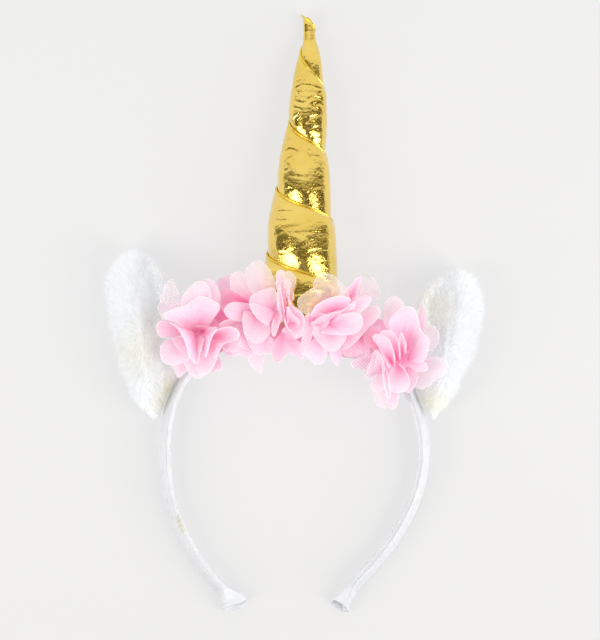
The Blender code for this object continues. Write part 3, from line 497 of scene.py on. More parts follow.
def smooth_rows(rows, count):
    """Rows on a smooth curve through the given ones, evenly spaced along x and y."""
    points = np.array(rows, float)
    held = np.vstack([2 * points[0] - points[1], points, 2 * points[-1] - points[-2]])
    dense = []
    for i in range(1, len(held) - 2):
        before, here, after, beyond = held[i - 1 : i + 3]
        t = np.linspace(0, 1, 16, endpoint=False)[:, None]
        bend = 2 * before - 5 * here + 4 * after - beyond
        twist = 3 * here - before - 3 * after + beyond
        dense.append(0.5 * (2 * here + (after - before) * t + bend * t**2 + twist * t**3))
    dense = np.vstack(dense + [points[-1:]])
    steps = np.linalg.norm(np.diff(dense[:, :2], axis=0), axis=1)
    along = np.concatenate([[0], np.cumsum(steps)])
    want = np.linspace(0, along[-1], count)
    return np.array([np.interp(want, along, column) for column in dense.T]).T


def at_share(rows, share):
    """The row at each share, from 0 to 1, of the way along evenly spaced rows."""
    place = np.linspace(0, 1, len(rows))
    return np.array([np.interp(share, place, column) for column in rows.T]).T


def unit(vectors):
    return vectors / np.maximum(np.linalg.norm(vectors, axis=-1, keepdims=True), 1e-9)


def waves(x, y, z, size):
    """Smooth noise from -1 to 1 at each point, with waves about size mm long."""
    points = np.column_stack([x / size, y / size, z / size])
    return np.array([noise.noise(point) for point in points.tolist()])


def hill(values, middle, spread):
    """1 at the middle, falling smoothly to nearly 0 at twice the spread from it."""
    return np.exp(-(((values - middle) / spread) ** 2))


def rounded_ends(v, steepness):
    """1 along a piece, and a round fall to 0 at both its ends."""
    return np.clip(np.minimum(v, 1 - v) * steepness, 0, 1) ** 0.5


def mesh_points(mesh):
    """The points of a mesh as rows of x, y and z."""
    flat = np.empty(len(mesh.vertices) * 3)
    mesh.vertices.foreach_get("co", flat)
    return flat.reshape(-1, 3)


def mark(mesh, name, values):
    """Keeps a value at each point of a mesh, for its material to read."""
    mesh.attributes.new(name, "FLOAT", "POINT").data.foreach_set("value", values)


def select_alone(piece):
    bpy.ops.object.select_all(action="DESELECT")
    piece.select_set(True)
    bpy.context.view_layer.objects.active = piece


def shaped_grid(name, across, along, surface, closed=False):
    """A grid whose points are put where surface(u, v) says in mm, welded where they meet."""
    bpy.ops.object.select_all(action="DESELECT")
    bpy.ops.mesh.primitive_grid_add(x_subdivisions=across, y_subdivisions=along, size=1)
    piece = bpy.context.object
    piece.name = name
    piece.data.name = name
    flat = mesh_points(piece.data)
    u, v = flat[:, 0] + 0.5, flat[:, 1] + 0.5
    points = surface(u, v) * MM
    piece.data.vertices.foreach_set("co", points.ravel())
    mark(piece.data, "to_rim", v)
    if closed:
        bpy.ops.object.mode_set(mode="EDIT")
        bpy.ops.mesh.select_all(action="SELECT")
        bpy.ops.mesh.remove_doubles(threshold=1e-6)
        bpy.ops.mesh.normals_make_consistent(inside=False)
        bpy.ops.object.mode_set(mode="OBJECT")
    bpy.ops.object.shade_smooth()
    return piece


def give_wall(piece, thickness, offset=-1.0):
    """Thickness in mm for a sheet. An offset of 0 puts half of it on each side."""
    wall = piece.modifiers.new("wall", "SOLIDIFY")
    wall.thickness = thickness * MM
    wall.offset = offset
    select_alone(piece)
    bpy.ops.object.modifier_apply(modifier=wall.name)


def join(pieces, name):
    select_alone(pieces[0])
    for piece in pieces:
        piece.select_set(True)
    if len(pieces) > 1:
        bpy.ops.object.join()
    pieces[0].name = name
    pieces[0].data.name = name
    return pieces[0]


def finish_piece(piece, material, node):
    piece.data.materials.clear()
    piece.data.materials.append(material)
    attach(piece, "root")
    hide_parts(node)


class Nodes:
    """The shader nodes of a material or of the world."""

    def __init__(self, owner):
        owner.use_nodes = True
        self.tree = owner.node_tree

    def put(self, value, socket):
        if isinstance(value, bpy.types.NodeSocket):
            self.tree.links.new(value, socket)
        else:
            socket.default_value = value

    def add(self, kind, inputs=(), **settings):
        """A new node, with its settings made and its inputs given."""
        node = self.tree.nodes.new(kind)
        for key, value in settings.items():
            setattr(node, key, value)
        for key, value in dict(inputs).items():
            self.put(value, node.inputs[key])
        return node

    def maths(self, operation, a, b=0.0):
        return self.add("ShaderNodeMath", {0: a, 1: b}, operation=operation).outputs[0]

    def parts(self, vector):
        """The x, y and z of a vector."""
        return self.add("ShaderNodeSeparateXYZ", {0: vector}).outputs

    def mix(self, factor, a, b):
        node = self.add("ShaderNodeMix", data_type="RGBA")
        self.put(factor, node.inputs["Factor"])
        self.put(a, node.inputs[6])
        self.put(b, node.inputs[7])
        return node.outputs[2]

    def ramp(self, factor, stops):
        node = self.add("ShaderNodeValToRGB")
        elements = node.color_ramp.elements
        while len(elements) < len(stops):
            elements.new(0.5)
        for element, (position, color) in zip(elements, stops):
            element.position = position
            element.color = (*color, 1.0)
        self.put(factor, node.inputs["Fac"])
        return node.outputs["Color"]


class Finish(Nodes):
    """A material with one Principled shader, and the patterns that go into it."""

    def __init__(self, name):
        self.material = bpy.data.materials.new(name)
        super().__init__(self.material)
        self.shader = self.tree.nodes["Principled BSDF"]

    def set(self, **inputs):
        for key, value in inputs.items():
            self.put(value, self.shader.inputs[key.replace("_", " ")])

    def place(self):
        return self.add("ShaderNodeTexCoord").outputs["Object"]

    def uv(self):
        return self.add("ShaderNodeTexCoord").outputs["UV"]

    def attribute(self, name):
        return self.add("ShaderNodeAttribute", attribute_name=name).outputs["Fac"]

    def stretched(self, vector, scale):
        return self.add("ShaderNodeMapping", {"Vector": vector, "Scale": scale}).outputs["Vector"]

    def noise(self, vector, scale, detail=3.0):
        inputs = {"Vector": vector, "Scale": scale, "Detail": detail, "Roughness": 0.55}
        return self.add("ShaderNodeTexNoise", inputs).outputs["Fac"]

    def weave(self, vector, pitch):
        """Threads that cross: a value from -1 to 1 that repeats every pitch metres."""
        x, y, _ = self.parts(vector)
        turn = 2 * math.pi / pitch
        warp = self.maths("SINE", self.maths("MULTIPLY", x, turn))
        weft = self.maths("SINE", self.maths("MULTIPLY", y, turn))
        return self.maths("MULTIPLY", warp, weft)

    def bump(self, height, strength, distance):
        inputs = {"Height": height, "Strength": strength, "Distance": distance}
        return self.add("ShaderNodeBump", inputs).outputs["Normal"]

    def mix_shaders(self, factor, a, b):
        inputs = {"Fac": factor, 1: a.outputs[0], 2: b.outputs[0]}
        return self.add("ShaderNodeMixShader", inputs)

    def show(self, shader):
        output = self.tree.nodes["Material Output"]
        self.tree.links.new(shader.outputs[0], output.inputs["Surface"])


def satin_material():
    """White satin with a yellowish mark where the cloth has been rubbed."""
    look = Finish("white_satin")
    cloud = look.noise(look.place(), 90.0)
    clean = look.ramp(cloud, [(0.3, (0.67, 0.685, 0.72)), (0.7, (0.72, 0.73, 0.755))])
    creases = look.noise(look.stretched(look.uv(), (60.0, 900.0, 1.0)), 1.0)
    look.set(
        Base_Color=look.mix(look.attribute("stain"), clean, (0.56, 0.55, 0.40, 1.0)),
        Roughness=0.42,
        Sheen_Weight=0.15,
        Sheen_Roughness=0.4,
        Normal=look.bump(creases, 0.25, 0.0003),
    )
    return look.material


def lame_material():
    """Crinkled metallic gold cloth."""
    look = Finish("gold_lame")
    place = look.place()
    cloud = look.noise(place, 60.0)
    look.set(
        Base_Color=look.ramp(cloud, [(0.3, (0.90, 0.62, 0.10)), (0.7, (0.97, 0.73, 0.16))]),
        Metallic=1.0,
        Roughness=0.12,
        Coat_Weight=1.0,
        Coat_Roughness=0.12,
        Normal=look.bump(look.noise(place, 700.0, 4.0), 0.4, 0.0005),
    )
    return look.material


def cord_material():
    """Gold thread, a little redder and yellower from strand to strand."""
    look = Finish("gold_thread")
    cloud = look.noise(look.place(), 700.0)
    look.set(
        Base_Color=look.ramp(cloud, [(0.3, (0.85, 0.62, 0.06)), (0.7, (1.0, 0.85, 0.2))]),
        Metallic=1.0,
        Roughness=0.28,
    )
    return look.material


def chiffon_material():
    """Sheer cloth, deep pink at the foot of each petal and nearly white at its rim. The white line along
    the very edge is a painted highlight, and the cloth glows a little with painted light.
    """
    look = Finish("pink_chiffon")
    maths = look.maths
    to_rim = look.attribute("to_rim")
    pink = look.attribute("pink")
    place = look.place()
    weave = look.weave(place, 1.9 * MM)
    cloud = look.noise(place, 120.0, 2.0)
    streaks = look.noise(look.stretched(look.uv(), (26.0, 1.2, 1.0)), 1.0, 2.0)
    deep = maths("POWER", maths("SUBTRACT", 1.0, to_rim), 1.6)
    deep = maths("MULTIPLY", deep, maths("ADD", maths("MULTIPLY", pink, 0.7), 0.3))
    strength = maths("ADD", deep, maths("MULTIPLY", pink, 0.4))
    patches = maths("MAXIMUM", maths("SUBTRACT", look.noise(place, 45.0, 1.0), 0.36), 0.0)
    patches = maths("MULTIPLY", patches, 3.4)
    dots = maths("MULTIPLY", maths("MAXIMUM", weave, 0.0), patches)
    for part, share in ((cloud, 0.25), (streaks, 0.3)):
        change = maths("MULTIPLY", maths("SUBTRACT", part, 0.5), share)
        strength = maths("ADD", strength, change)
    color = look.ramp(strength, [
        (0.0, (0.96, 0.90, 0.93)), (0.2, (0.97, 0.79, 0.88)), (0.45, (0.98, 0.60, 0.76)),
        (0.75, (0.98, 0.42, 0.65)), (1.0, (0.90, 0.27, 0.50)),
    ])
    color = look.mix(dots, color, (0.78, 0.60, 0.68, 1.0))
    # Painted highlight: the last bit of each petal before its edge turns nearly white.
    rim = look.ramp(to_rim, [(0.965, (0.0, 0.0, 0.0)), (0.985, (1.0, 1.0, 1.0))])
    color = look.mix(rim, color, (1.0, 0.97, 0.99, 1.0))
    look.set(Base_Color=color, Roughness=0.75, Sheen_Weight=0.15, Sheen_Roughness=0.5)
    # Painted light: the cloth glows faintly in its own colour, which brightens every petal.
    look.set(Emission_Color=color, Emission_Strength=0.14)
    look.set(Normal=look.bump(weave, 0.2, 0.0002))
    through = look.add("ShaderNodeBsdfTranslucent", {"Color": color})
    clear = look.add("ShaderNodeBsdfTransparent")
    cloth = look.mix_shaders(0.45, look.shader, through)
    sheer = maths("SUBTRACT", 0.85, maths("MULTIPLY", pink, 2.0))
    sheer = maths("SUBTRACT", sheer, maths("MULTIPLY", deep, 0.4))
    sheer = maths("MULTIPLY", sheer, maths("SUBTRACT", 1.0, maths("MULTIPLY", rim, 0.8)))
    look.show(look.mix_shaders(maths("MAXIMUM", sheer, 0.03), cloth, clear))
    return look.material


def fur_material():
    """Strands that let light through, from white to the brown of their backing; the creamy tone in the
    hollow of an ear is painted shade, and the strands glow a little with painted light.
    """
    look = Finish("ear_fur")
    color = look.ramp(look.attribute("cream_and_shade"), [
        (0.0, (0.892, 0.908, 0.937)), (0.5, (0.87, 0.855, 0.76)), (1.0, (0.70, 0.58, 0.30)),
    ])
    look.set(Base_Color=color, Roughness=0.6, Sheen_Weight=0.2)
    # Painted light: the strands glow faintly in their own colour, so the fur stays bright.
    look.set(Emission_Color=color, Emission_Strength=0.178)
    through = look.add("ShaderNodeBsdfTranslucent", {"Color": color})
    look.show(look.mix_shaders(0.4, look.shader, through))
    return look.material


def pelt_material():
    """White backing cloth under the fur."""
    look = Finish("ear_pelt")
    cloud = look.noise(look.place(), 160.0)
    look.set(
        Base_Color=look.ramp(cloud, [(0.3, (0.86, 0.86, 0.85)), (0.7, (0.92, 0.92, 0.92))]),
        Roughness=0.9,
        Sheen_Weight=0.4,
        Normal=look.bump(look.noise(look.place(), 900.0), 0.4, 0.0006),
    )
    return look.material


def floor_material():
    """Pale sheet that glows as if lit from below, so shadows on it are faint. Its glow is a little dimmer
    towards the near side, painted shade that evens out the brighter light there.
    """
    look = Finish("pale_floor")
    # Painted shade: the glow is dimmer towards the near side, where the softboxes light the floor more.
    far = look.maths("ADD", look.maths("MULTIPLY", look.parts(look.place())[1], 2.5), 0.5)
    look.set(
        Base_Color=(0.225, 0.216, 0.195, 1.0),
        Roughness=0.9,
        Specular_IOR_Level=0.1,
        Emission_Color=look.ramp(far, [(0.1, (0.895, 0.91, 0.946)), (0.55, (0.9464, 0.9627, 1.0))]),
        Emission_Strength=0.638,
    )
    return look.material


def make_camera():
    """Straight down, as the photograph was taken, with the middle of the picture under it."""
    long_side = PHOTO_HEIGHT * PIXEL * MM
    data = bpy.data.cameras.new("photo_camera")
    data.sensor_width = SENSOR_MM
    data.lens = SENSOR_MM * (CAMERA_HEIGHT - TRUE_SCALE_HEIGHT) / long_side
    data.clip_start = 0.1
    data.clip_end = 20.0
    camera = bpy.data.objects.new("photo_camera", data)
    x, y = photo_x(PHOTO_MIDDLE[0]), photo_y(PHOTO_MIDDLE[1])
    camera.location = (float(x) * MM, float(y) * MM, CAMERA_HEIGHT)
    bpy.context.collection.objects.link(camera)
    bpy.context.scene.camera = camera


def soft_light(name, place, size, power):
    """Rectangular light that faces the origin and isn't seen itself."""
    data = bpy.data.lights.new(name, "AREA")
    data.shape = "RECTANGLE"
    data.size, data.size_y = size
    data.energy = power
    light = bpy.data.objects.new(name, data)
    light.location = place
    x, y, z = place
    light.rotation_euler = (math.atan2(math.hypot(x, y), z), 0.0, math.atan2(y, x) + math.pi / 2)
    light.visible_camera = False
    bpy.context.collection.objects.link(light)


def make_world():
    """Walls and ceiling of the studio: bright beyond the horn's tip, dim on the near side."""
    world = bpy.data.worlds.new("studio")
    nodes = Nodes(world)
    direction = nodes.add("ShaderNodeTexCoord").outputs["Generated"]
    sideways = nodes.add("ShaderNodeVectorMath", {0: direction}, operation="ABSOLUTE").outputs[0]
    parts = []
    for vector, weights in ((direction, (0.0, 1.0, -0.15)), (sideways, (-0.22, 0.0, 0.0))):
        part = nodes.add("ShaderNodeVectorMath", {0: vector, 1: weights}, operation="DOT_PRODUCT")
        parts.append(part.outputs["Value"])
    brightness = nodes.add("ShaderNodeMapRange", {
        "Value": nodes.maths("ADD", *parts),
        "From Min": -WALL_BLEND,
        "From Max": WALL_BLEND,
        "To Min": DIM_WALL,
        "To Max": BRIGHT_WALL,
    }).outputs["Result"]
    background = nodes.tree.nodes["Background"]
    warmth = nodes.ramp(brightness, [(0.0, DIM_WALL_TINT), (1.0, (1.0, 1.0, 1.0))])
    nodes.put(warmth, background.inputs["Color"])
    nodes.put(brightness, background.inputs["Strength"])
    bpy.context.scene.world = world


def make_studio():
    scene = bpy.context.scene
    scene.view_settings.view_transform = "Standard"
    scene.view_settings.look = "None"
    make_world()
    for name, place, size, power in SOFT_LIGHTS:
        soft_light(name, place, size, power)
    bpy.ops.object.select_all(action="DESELECT")
    bpy.ops.mesh.primitive_plane_add(size=FLOOR_SIZE)
    floor = bpy.context.object
    floor.name = "floor"
    floor.data.materials.append(floor_material())


def section_round(angle, half_a, half_b, power):
    """Two ways across a section with rounded corners, at each angle round it."""
    c, s = np.cos(angle), np.sin(angle)
    a = half_a * np.sign(c) * np.abs(c) ** power
    b = half_b * np.sign(s) * np.abs(s) ** power
    return a, b


def band_frames():
    """Points on the middle line of the band, the way along it, outwards and upwards."""
    rows = smooth_rows(placed(BAND_LINE), BAND_SAMPLES)
    middle = rows[:, :3]
    along = unit(np.gradient(middle, axis=0))
    outward = unit(np.column_stack([-along[:, 1], along[:, 0], np.zeros(BAND_SAMPLES)]))
    up = unit(np.cross(outward, along))
    up *= np.where(up[:, 2:] < 0, -1, 1)
    turn = np.radians(rows[:, 3:4])
    thick = outward * np.cos(turn) + up * np.sin(turn)
    wide = up * np.cos(turn) - outward * np.sin(turn)
    return middle, along, thick, wide


def outer_side(along):
    """The way out of the hoop on the level at each point of the band."""
    return unit(np.column_stack([-along[:, 1], along[:, 0]]))


def stain_strength(points):
    """How rubbed the band is at each point, on its upper side alone."""
    stain = np.zeros(len(points))
    for mark_x, mark_y, reach, strength in STAINS:
        gap = np.hypot(points[:, 0] - photo_x(mark_x), points[:, 1] - photo_y(mark_y))
        stain = np.maximum(stain, strength * hill(gap, 0, reach))
    return np.where(points[:, 2] > STAIN_LOWEST_Z, stain, 0.0)


def make_band(material):
    """Satin ribbon wound along the band, with its seam on the upper outer side."""
    middle, _, thick, wide = band_frames()
    frames = np.hstack([middle, thick, wide])
    long_height, long_size = LONG_CRINKLES
    short_height, short_size = SHORT_CRINKLES

    def surface(u, v):
        row = at_share(frames, v)
        a, b = section_round(2 * math.pi * u, BAND_HALF_THICK, BAND_HALF_WIDE, BAND_ROUNDNESS)
        length = v * CRINKLE_RUN
        crinkle = long_height * waves(length, 6 * u, 0 * u, long_size)
        crinkle = crinkle + short_height * waves(length, 16 * u, 3 + 0 * u, short_size)
        seam = SEAM_HEIGHT * hill(u, SEAM_AT, SEAM_SPREAD)
        swell = 1 + (crinkle + seam) / CRINKLE_BASE
        end = rounded_ends(v, 400.0)
        a, b = a * swell * end, b * swell * end
        return row[:, :3] + row[:, 3:6] * a[:, None] + row[:, 6:9] * b[:, None]

    piece = shaped_grid("satin_band", 44, 620, surface, closed=True)
    mark(piece.data, "stain", stain_strength(mesh_points(piece.data) / MM))
    finish_piece(piece, material, "band")


def sleeve_lines(side):
    """Rows along a ribbon end: middle, half sizes, its two ways across, ahead, roundness."""
    middle, _, thick, wide = band_frames()
    if side == "right":
        middle, thick, wide = middle[::-1], thick[::-1], wide[::-1]
    gone = np.cumsum(np.linalg.norm(np.diff(middle, axis=0, prepend=middle[:1]), axis=1))
    last = int(np.searchsorted(gone, SLEEVE_OVERLAP))
    band = middle[last:0:-6]
    table = placed(RIBBONS[side])
    table_z = table[:, 3] - SLEEVE_SINK * np.linspace(0.5, 1.0, len(table))
    centres = np.vstack([band, np.column_stack([table[:, :2], table_z])])
    band_halves = [BAND_HALF_THICK + SLEEVE_EASE, BAND_HALF_WIDE + SLEEVE_EASE]
    halves = np.vstack([np.tile(band_halves, (len(band), 1)), table[:, 2:4]])
    path = smooth_rows(np.hstack([centres, halves]), SLEEVE_SAMPLES)
    ahead = unit(np.gradient(path[:, :2], axis=0))
    beside = np.column_stack([-ahead[:, 1], ahead[:, 0], 0 * ahead[:, 0]])
    beside *= np.where((beside @ thick[0])[:, None] < 0, -1, 1)
    upright = np.array([0.0, 0.0, 1.0])
    past_band = np.linspace(0, 1, len(path)) * (len(centres) - 1) / len(band)
    flat = np.clip(past_band - 0.6, 0, 1)[:, None]
    across = unit(thick[0] * (1 - flat) + beside * flat)
    upward = unit(wide[0] * (1 - flat) + upright * flat)
    roundness = BAND_ROUNDNESS + 0.33 * flat
    return np.hstack([path, across, upward, ahead, roundness])


def make_ribbon_end(side, material):
    """The open end of the ribbon: it carries on from the band and flares to a dark mouth."""
    lines = sleeve_lines(side)

    def surface(u, v):
        inside = np.clip((v - MOUTH_AT) / (1 - MOUTH_AT), 0, 1)
        share = np.clip(v / MOUTH_AT, 0, 1)
        row = at_share(lines, share)
        across, upward, ahead, roundness = row[:, 5:8], row[:, 8:11], row[:, 11:13], row[:, 13]
        angle = 2 * math.pi * u
        wall = SLEEVE_WALL * np.minimum(inside * 8, 1)
        closing = (1 - np.clip((inside - 0.75) / 0.25, 0, 1) ** 2) * (1 - 0.5 * inside)
        opening = np.clip((share - OPENS_FROM) / (1 - OPENS_FROM), 0, 1)
        fold = 1 + opening * (0.08 * np.sin(angle * 3 + 1.0) + 0.02 * np.sin(angle * 7))
        half_across = (row[:, 3] - wall) * closing * fold
        half_high = (row[:, 4] - wall) * closing * fold
        a, b = section_round(angle, half_across, half_high, roundness)
        start = np.clip(v / 0.01, 0, 1) ** 0.5
        points = row[:, :3] + (across * a[:, None] + upward * b[:, None]) * start[:, None]
        lip = np.clip(np.sin(angle), 0, 1)
        corner = np.abs(np.cos(angle)) ** 3
        back = LIP_SETBACKS[side] * opening * lip + inside * POCKET_DEPTH
        back = back + MOUTH_ROUNDING[side] * opening * corner
        points[:, :2] = points[:, :2] - ahead * back[:, None]
        points[:, 2] = np.maximum(points[:, 2], FLOOR_CLEARANCE + wall)
        return points

    piece = shaped_grid(f"ribbon_sleeve_{side}", 48, 120, surface, closed=True)
    finish_piece(piece, material, f"ribbon_end_{side}")


def horn_lines(y):
    """Middle x and half width of the horn at each y, in mm."""
    rows = np.array(HORN_ROWS, float)[::-1]
    heights = photo_y(rows[:, 0])
    middle = np.interp(y, heights, photo_x(rows[:, 1]))
    half = np.interp(y, heights, rows[:, 2] * PIXEL / 2)
    return middle, half


def horn_cover(x, y):
    """Height of the front of the horn over each point, and 0 beside it."""
    middle, half = horn_lines(y)
    off = np.clip(np.abs(x - middle) / half, 0, 1)
    top = HORN_BACK_Z + half * HORN_DEPTH_SHARE * (1 + np.sqrt(1 - off**2))
    top = top + CROWN_FRONT - GROOVE_DEPTH
    return np.where((off < 1) & (y < photo_y(HORN_TIP_PIXEL)), top, 0.0)


def horn_base(x):
    """y of the band's outer side at each x."""
    middle, along, _, _ = band_frames()
    edge = (middle[:, :2] + outer_side(along) * BAND_OUTER_SIDE)[HORN_ARCH]
    order = np.argsort(edge[:, 0])
    return np.interp(x, edge[order, 0], edge[order, 1])


def horn_point(angle, y, dent):
    """Points on the horn at an angle round it, dent mm under its full round form."""
    middle, half = horn_lines(y)
    rounder = np.maximum(0.0, 1 - half / ROUND_HALF_WIDTH)
    depth = HORN_DEPTH_SHARE + (1 - HORN_DEPTH_SHARE) * rounder
    x = middle - (half - dent) * np.cos(angle)
    z = HORN_BACK_Z + half * depth + (half * depth - dent) * np.sin(angle)
    return np.column_stack([x, y, z])


def turn_fall(down, angle, above):
    """How much of its height a turn of the horn keeps on its way down to the next groove."""
    across = 0.5 - 0.5 * np.cos(angle)
    start = np.interp(across, DROP_PLACES, DROP_STARTS) * (1 - above)
    start = start + np.interp(across, DROP_PLACES, DROP_STARTS_ABOVE) * above
    steep = np.interp(across, DROP_PLACES, DROP_STEEPENS) * (1 - above)
    steep = steep + np.interp(across, DROP_PLACES, DROP_STEEPENS_ABOVE) * above
    share = GENTLE_DROP + (GENTLE_DROP_ABOVE - GENTLE_DROP) * above
    gentle = np.clip((down - start) / (steep - start), 0, 1)
    sharp = np.clip((down - steep) / (1 - steep), 0, 1)
    return 1 - share * gentle**1.3 - (1 - share) * sharp**1.2


def cloth_waves(angle, y, kind, shift=0.0):
    """One kind of waves in the gold cloth, from -1 to 1, at each place on the horn."""
    around, along, size = kind
    round_x = RELIEF_RADIUS * np.cos(angle) * around + shift
    round_z = RELIEF_RADIUS * np.sin(angle) * around
    return waves(round_x, y * along, round_z, size)


def horn_relief(angle, y, down):
    """Puckers near the cord, crumples and sharp creases in the cloth, in mm."""
    puckers = cloth_waves(angle, y, PUCKERS)
    crumple = cloth_waves(angle, y, CRUMPLES)
    creases = 1 - 2 * np.abs(cloth_waves(angle, y, CREASES, shift=9))
    creases = np.clip(creases - 0.55, 0, 1)
    near = hill(np.minimum(down, 1 - down), 0, NEAR_GROOVE)
    upper = np.clip((y - ROUGH_FROM_Y) / ROUGH_BLEND, 0, 1)
    right = 0.5 - 0.5 * np.cos(angle)
    rough = upper * (0.25 + 0.75 * right)
    rough = rough * np.clip((SMOOTH_TIP_Y - y) / SMOOTH_TIP_BLEND, 0.25, 1)
    relief = puckers * (0.05 + 0.25 * near + 0.08 * rough)
    relief = relief + crumple * (0.02 + 0.1 * near + 0.14 * rough)
    return relief - creases * (0.3 + 0.2 * upper)


def make_horn(material):
    """Padded gold horn: each turn swells and drops into the next groove, with small crumples."""
    top = float(photo_y(HORN_TIP_PIXEL))
    turns = np.array(CORD_TURNS, float)[::-1]

    def surface(u, v):
        angle = 2 * math.pi * u
        share = np.clip((v - 0.03) / 0.95, 0, 1)
        middle, half = horn_lines(HORN_LOWEST_Y + (top - HORN_LOWEST_Y) * share)
        bottom = horn_base(middle - half * np.cos(angle))
        y = bottom + (top - bottom) * share
        middle, half = horn_lines(y)
        turn = np.interp(y, photo_y(turns[:, 1]), turns[:, 0]) - angle / (2 * math.pi)
        down = turn - np.floor(turn)
        size = np.minimum(1.0, half / FULL_CROWN_HALF_WIDTH)
        front = np.clip(np.sin(angle), 0, 1) ** 0.8
        rise = 1 - np.exp(-down / 0.035)
        fall = turn_fall(down, angle, np.clip((y - ABOVE_FROM_Y) / ABOVE_BLEND, 0, 1))
        crown = (CROWN_SIDE + (CROWN_FRONT - CROWN_SIDE) * front) * size
        dent = GROOVE_DEPTH * size - crown * rise * fall
        dent = dent - horn_relief(angle, y, down) * size * np.minimum(rise, fall)
        points = horn_point(angle, y, dent)
        middle_z = HORN_BACK_Z + half * HORN_DEPTH_SHARE
        tip = np.clip((1 - v) / 0.02, 0, 1) ** 0.5
        shrink = np.minimum(np.clip(v / 0.03, 0, 1), tip)
        points[:, 0] = middle + (points[:, 0] - middle) * shrink
        points[:, 2] = middle_z + (points[:, 2] - middle_z) * shrink
        return points

    piece = shaped_grid("padded_horn", 200, 520, surface, closed=True)
    finish_piece(piece, material, "horn")


def make_cord(material):
    """Twisted cord in the groove: its section has three strands and turns along it."""
    turns = np.array(CORD_TURNS, float)
    turn = np.linspace(turns[0, 0], turns[-1, 0], CORD_SAMPLES)
    y = photo_y(np.interp(turn, turns[:, 0], turns[:, 1]))
    middle, half = horn_lines(y)
    size = np.minimum(1.0, half / FULL_GROOVE_HALF_WIDTH)
    loose = LOOSE_END * np.exp(-(turn - turn[0]) / 0.05)
    path = horn_point(2 * math.pi * turn, y, GROOVE_DEPTH * size - CORD_RADIUS - 0.2 - loose)
    path[:, 2] = np.maximum(path[:, 2], CORD_LOWEST_Z)
    along = unit(np.gradient(path, axis=0))
    length = np.concatenate([[0], np.cumsum(np.linalg.norm(np.diff(path, axis=0), axis=1))])
    out = unit(path - np.column_stack([middle, y, HORN_BACK_Z + half * HORN_DEPTH_SHARE]))
    out = unit(out - along * np.sum(out * along, axis=1)[:, None])
    lines = np.hstack([path, out, np.cross(along, out), length[:, None]])

    def surface(u, v):
        row = at_share(lines, v)
        around = 2 * math.pi * u
        twist = row[:, 9] / TWIST_PITCH * 2 * math.pi
        lobes = 0.72 + 0.28 * np.abs(np.cos(1.5 * (around - twist)))
        radius = CORD_RADIUS * lobes * rounded_ends(v, 500)
        away = row[:, 3:6] * np.cos(around)[:, None] + row[:, 6:9] * np.sin(around)[:, None]
        return row[:, :3] + away * radius[:, None]

    piece = shaped_grid("horn_winding", 12, 1400, surface, closed=True)
    finish_piece(piece, material, "horn_cord")


def make_strip(material):
    """Ruffled chiffon strip that lies on the band under the flowers."""
    middle, along, _, _ = band_frames()
    rows = np.array(STRIP_ROWS, float)
    xs = photo_x(rows[:, 0])
    lines = np.hstack([middle, outer_side(along)])[STRIP_ARCH]
    lines = lines[(lines[:, 0] > xs[0]) & (lines[:, 0] < xs[-1])]

    def surface(u, v):
        row = at_share(lines, v)
        low = np.interp(row[:, 0], xs, rows[:, 1])
        high = np.interp(row[:, 0], xs, rows[:, 2])
        far = -low + (low + high) * u
        edge = np.abs(2 * u - 1) ** 2
        ruffle = waves(row[:, 0], 8 * u, 0 * u, 5.0) * RUFFLE_HEIGHT * edge
        sag = STRIP_SAG * far**2 * np.where(far > 0, 1, 1.5)
        x = row[:, 0] + row[:, 3] * far
        y = row[:, 1] + row[:, 4] * far
        z = row[:, 2] + STRIP_LIFT - sag + ruffle + RUFFLE_LIFT
        return np.column_stack([x, y, z])

    piece = shaped_grid("chiffon_ruffle", 40, 200, surface)
    mark(piece.data, "pink", np.full(len(piece.data.vertices), STRIP_PINK))
    give_wall(piece, STRIP_WALL)
    finish_piece(piece, material, "chiffon_strip")


def make_petal(name, base, rim, bulge, pink, seed):
    """One petal: cloth that runs from the base to every point of the rim."""
    edge = smooth_rows(placed(rim), 60)
    foot = placed([base])[0]
    long_height, long_size = LONG_WAVES
    short_height, short_size = SHORT_WAVES

    def surface(u, v):
        far = at_share(edge, u)
        grow = PETAL_ROOT + (1 - PETAL_ROOT) * v
        x = foot[0] + (far[:, 0] - foot[0]) * grow
        y = foot[1] + (far[:, 1] - foot[1]) * grow
        z = foot[2] + (far[:, 2] - foot[2]) * v**0.7
        z = z + bulge * np.sin(math.pi * v) * np.sin(math.pi * u)
        z = z + long_height * v**2 * waves(x, y, 0 * x + seed * 3.7, long_size)
        z = z + short_height * v * waves(24 * u, 0 * u, 0 * u + seed, short_size)
        over = horn_cover(x, y)
        z = np.where(over > 0, np.maximum(z, over + OVER_HORN), z)
        return np.column_stack([x, y, z])

    piece = shaped_grid(name, 28, 16, surface)
    mark(piece.data, "pink", np.full(len(piece.data.vertices), pink))
    return piece


def make_foot(number):
    """The fan of deep pink cloth under a flower."""
    x, y, z = FLOWER_FEET[number]
    wide, high = FOOT_REACH
    ring = [(x + wide * math.cos(a), y - high * math.sin(a), z) for a in FOOT_ANGLES]
    return make_petal("foot", (x, y, z - 0.6), ring, 0.4, FOOT_PINK, 9.0)


def make_flowers(material):
    """The layers of petals of each flower, each layer one piece."""
    for (number, layer), petals in PETALS.items():
        pieces = []
        for k, (base, rim, bulge, pink) in enumerate(petals):
            pieces.append(make_petal(f"petal_{k}", base, rim, bulge, pink, k + 1.0))
        if layer == "outer":
            pieces.append(make_foot(number))
        flower = join(pieces, f"petals_{number}_{layer}")
        give_wall(flower, PETAL_WALL, offset=0.0)
        finish_piece(flower, material, f"flower_{number}_{layer}")


def ear_lines(side, y):
    """Left and right edge of an ear at each y, and the y of its lowest and highest point."""
    table = np.array(EAR_ROWS[side], float)[::-1]
    heights = photo_y(table[:, 0])
    left = np.interp(y, heights, photo_x(table[:, 1]))
    right = np.interp(y, heights, photo_x(table[:, 2]))
    return left, right, heights[0], heights[-1]


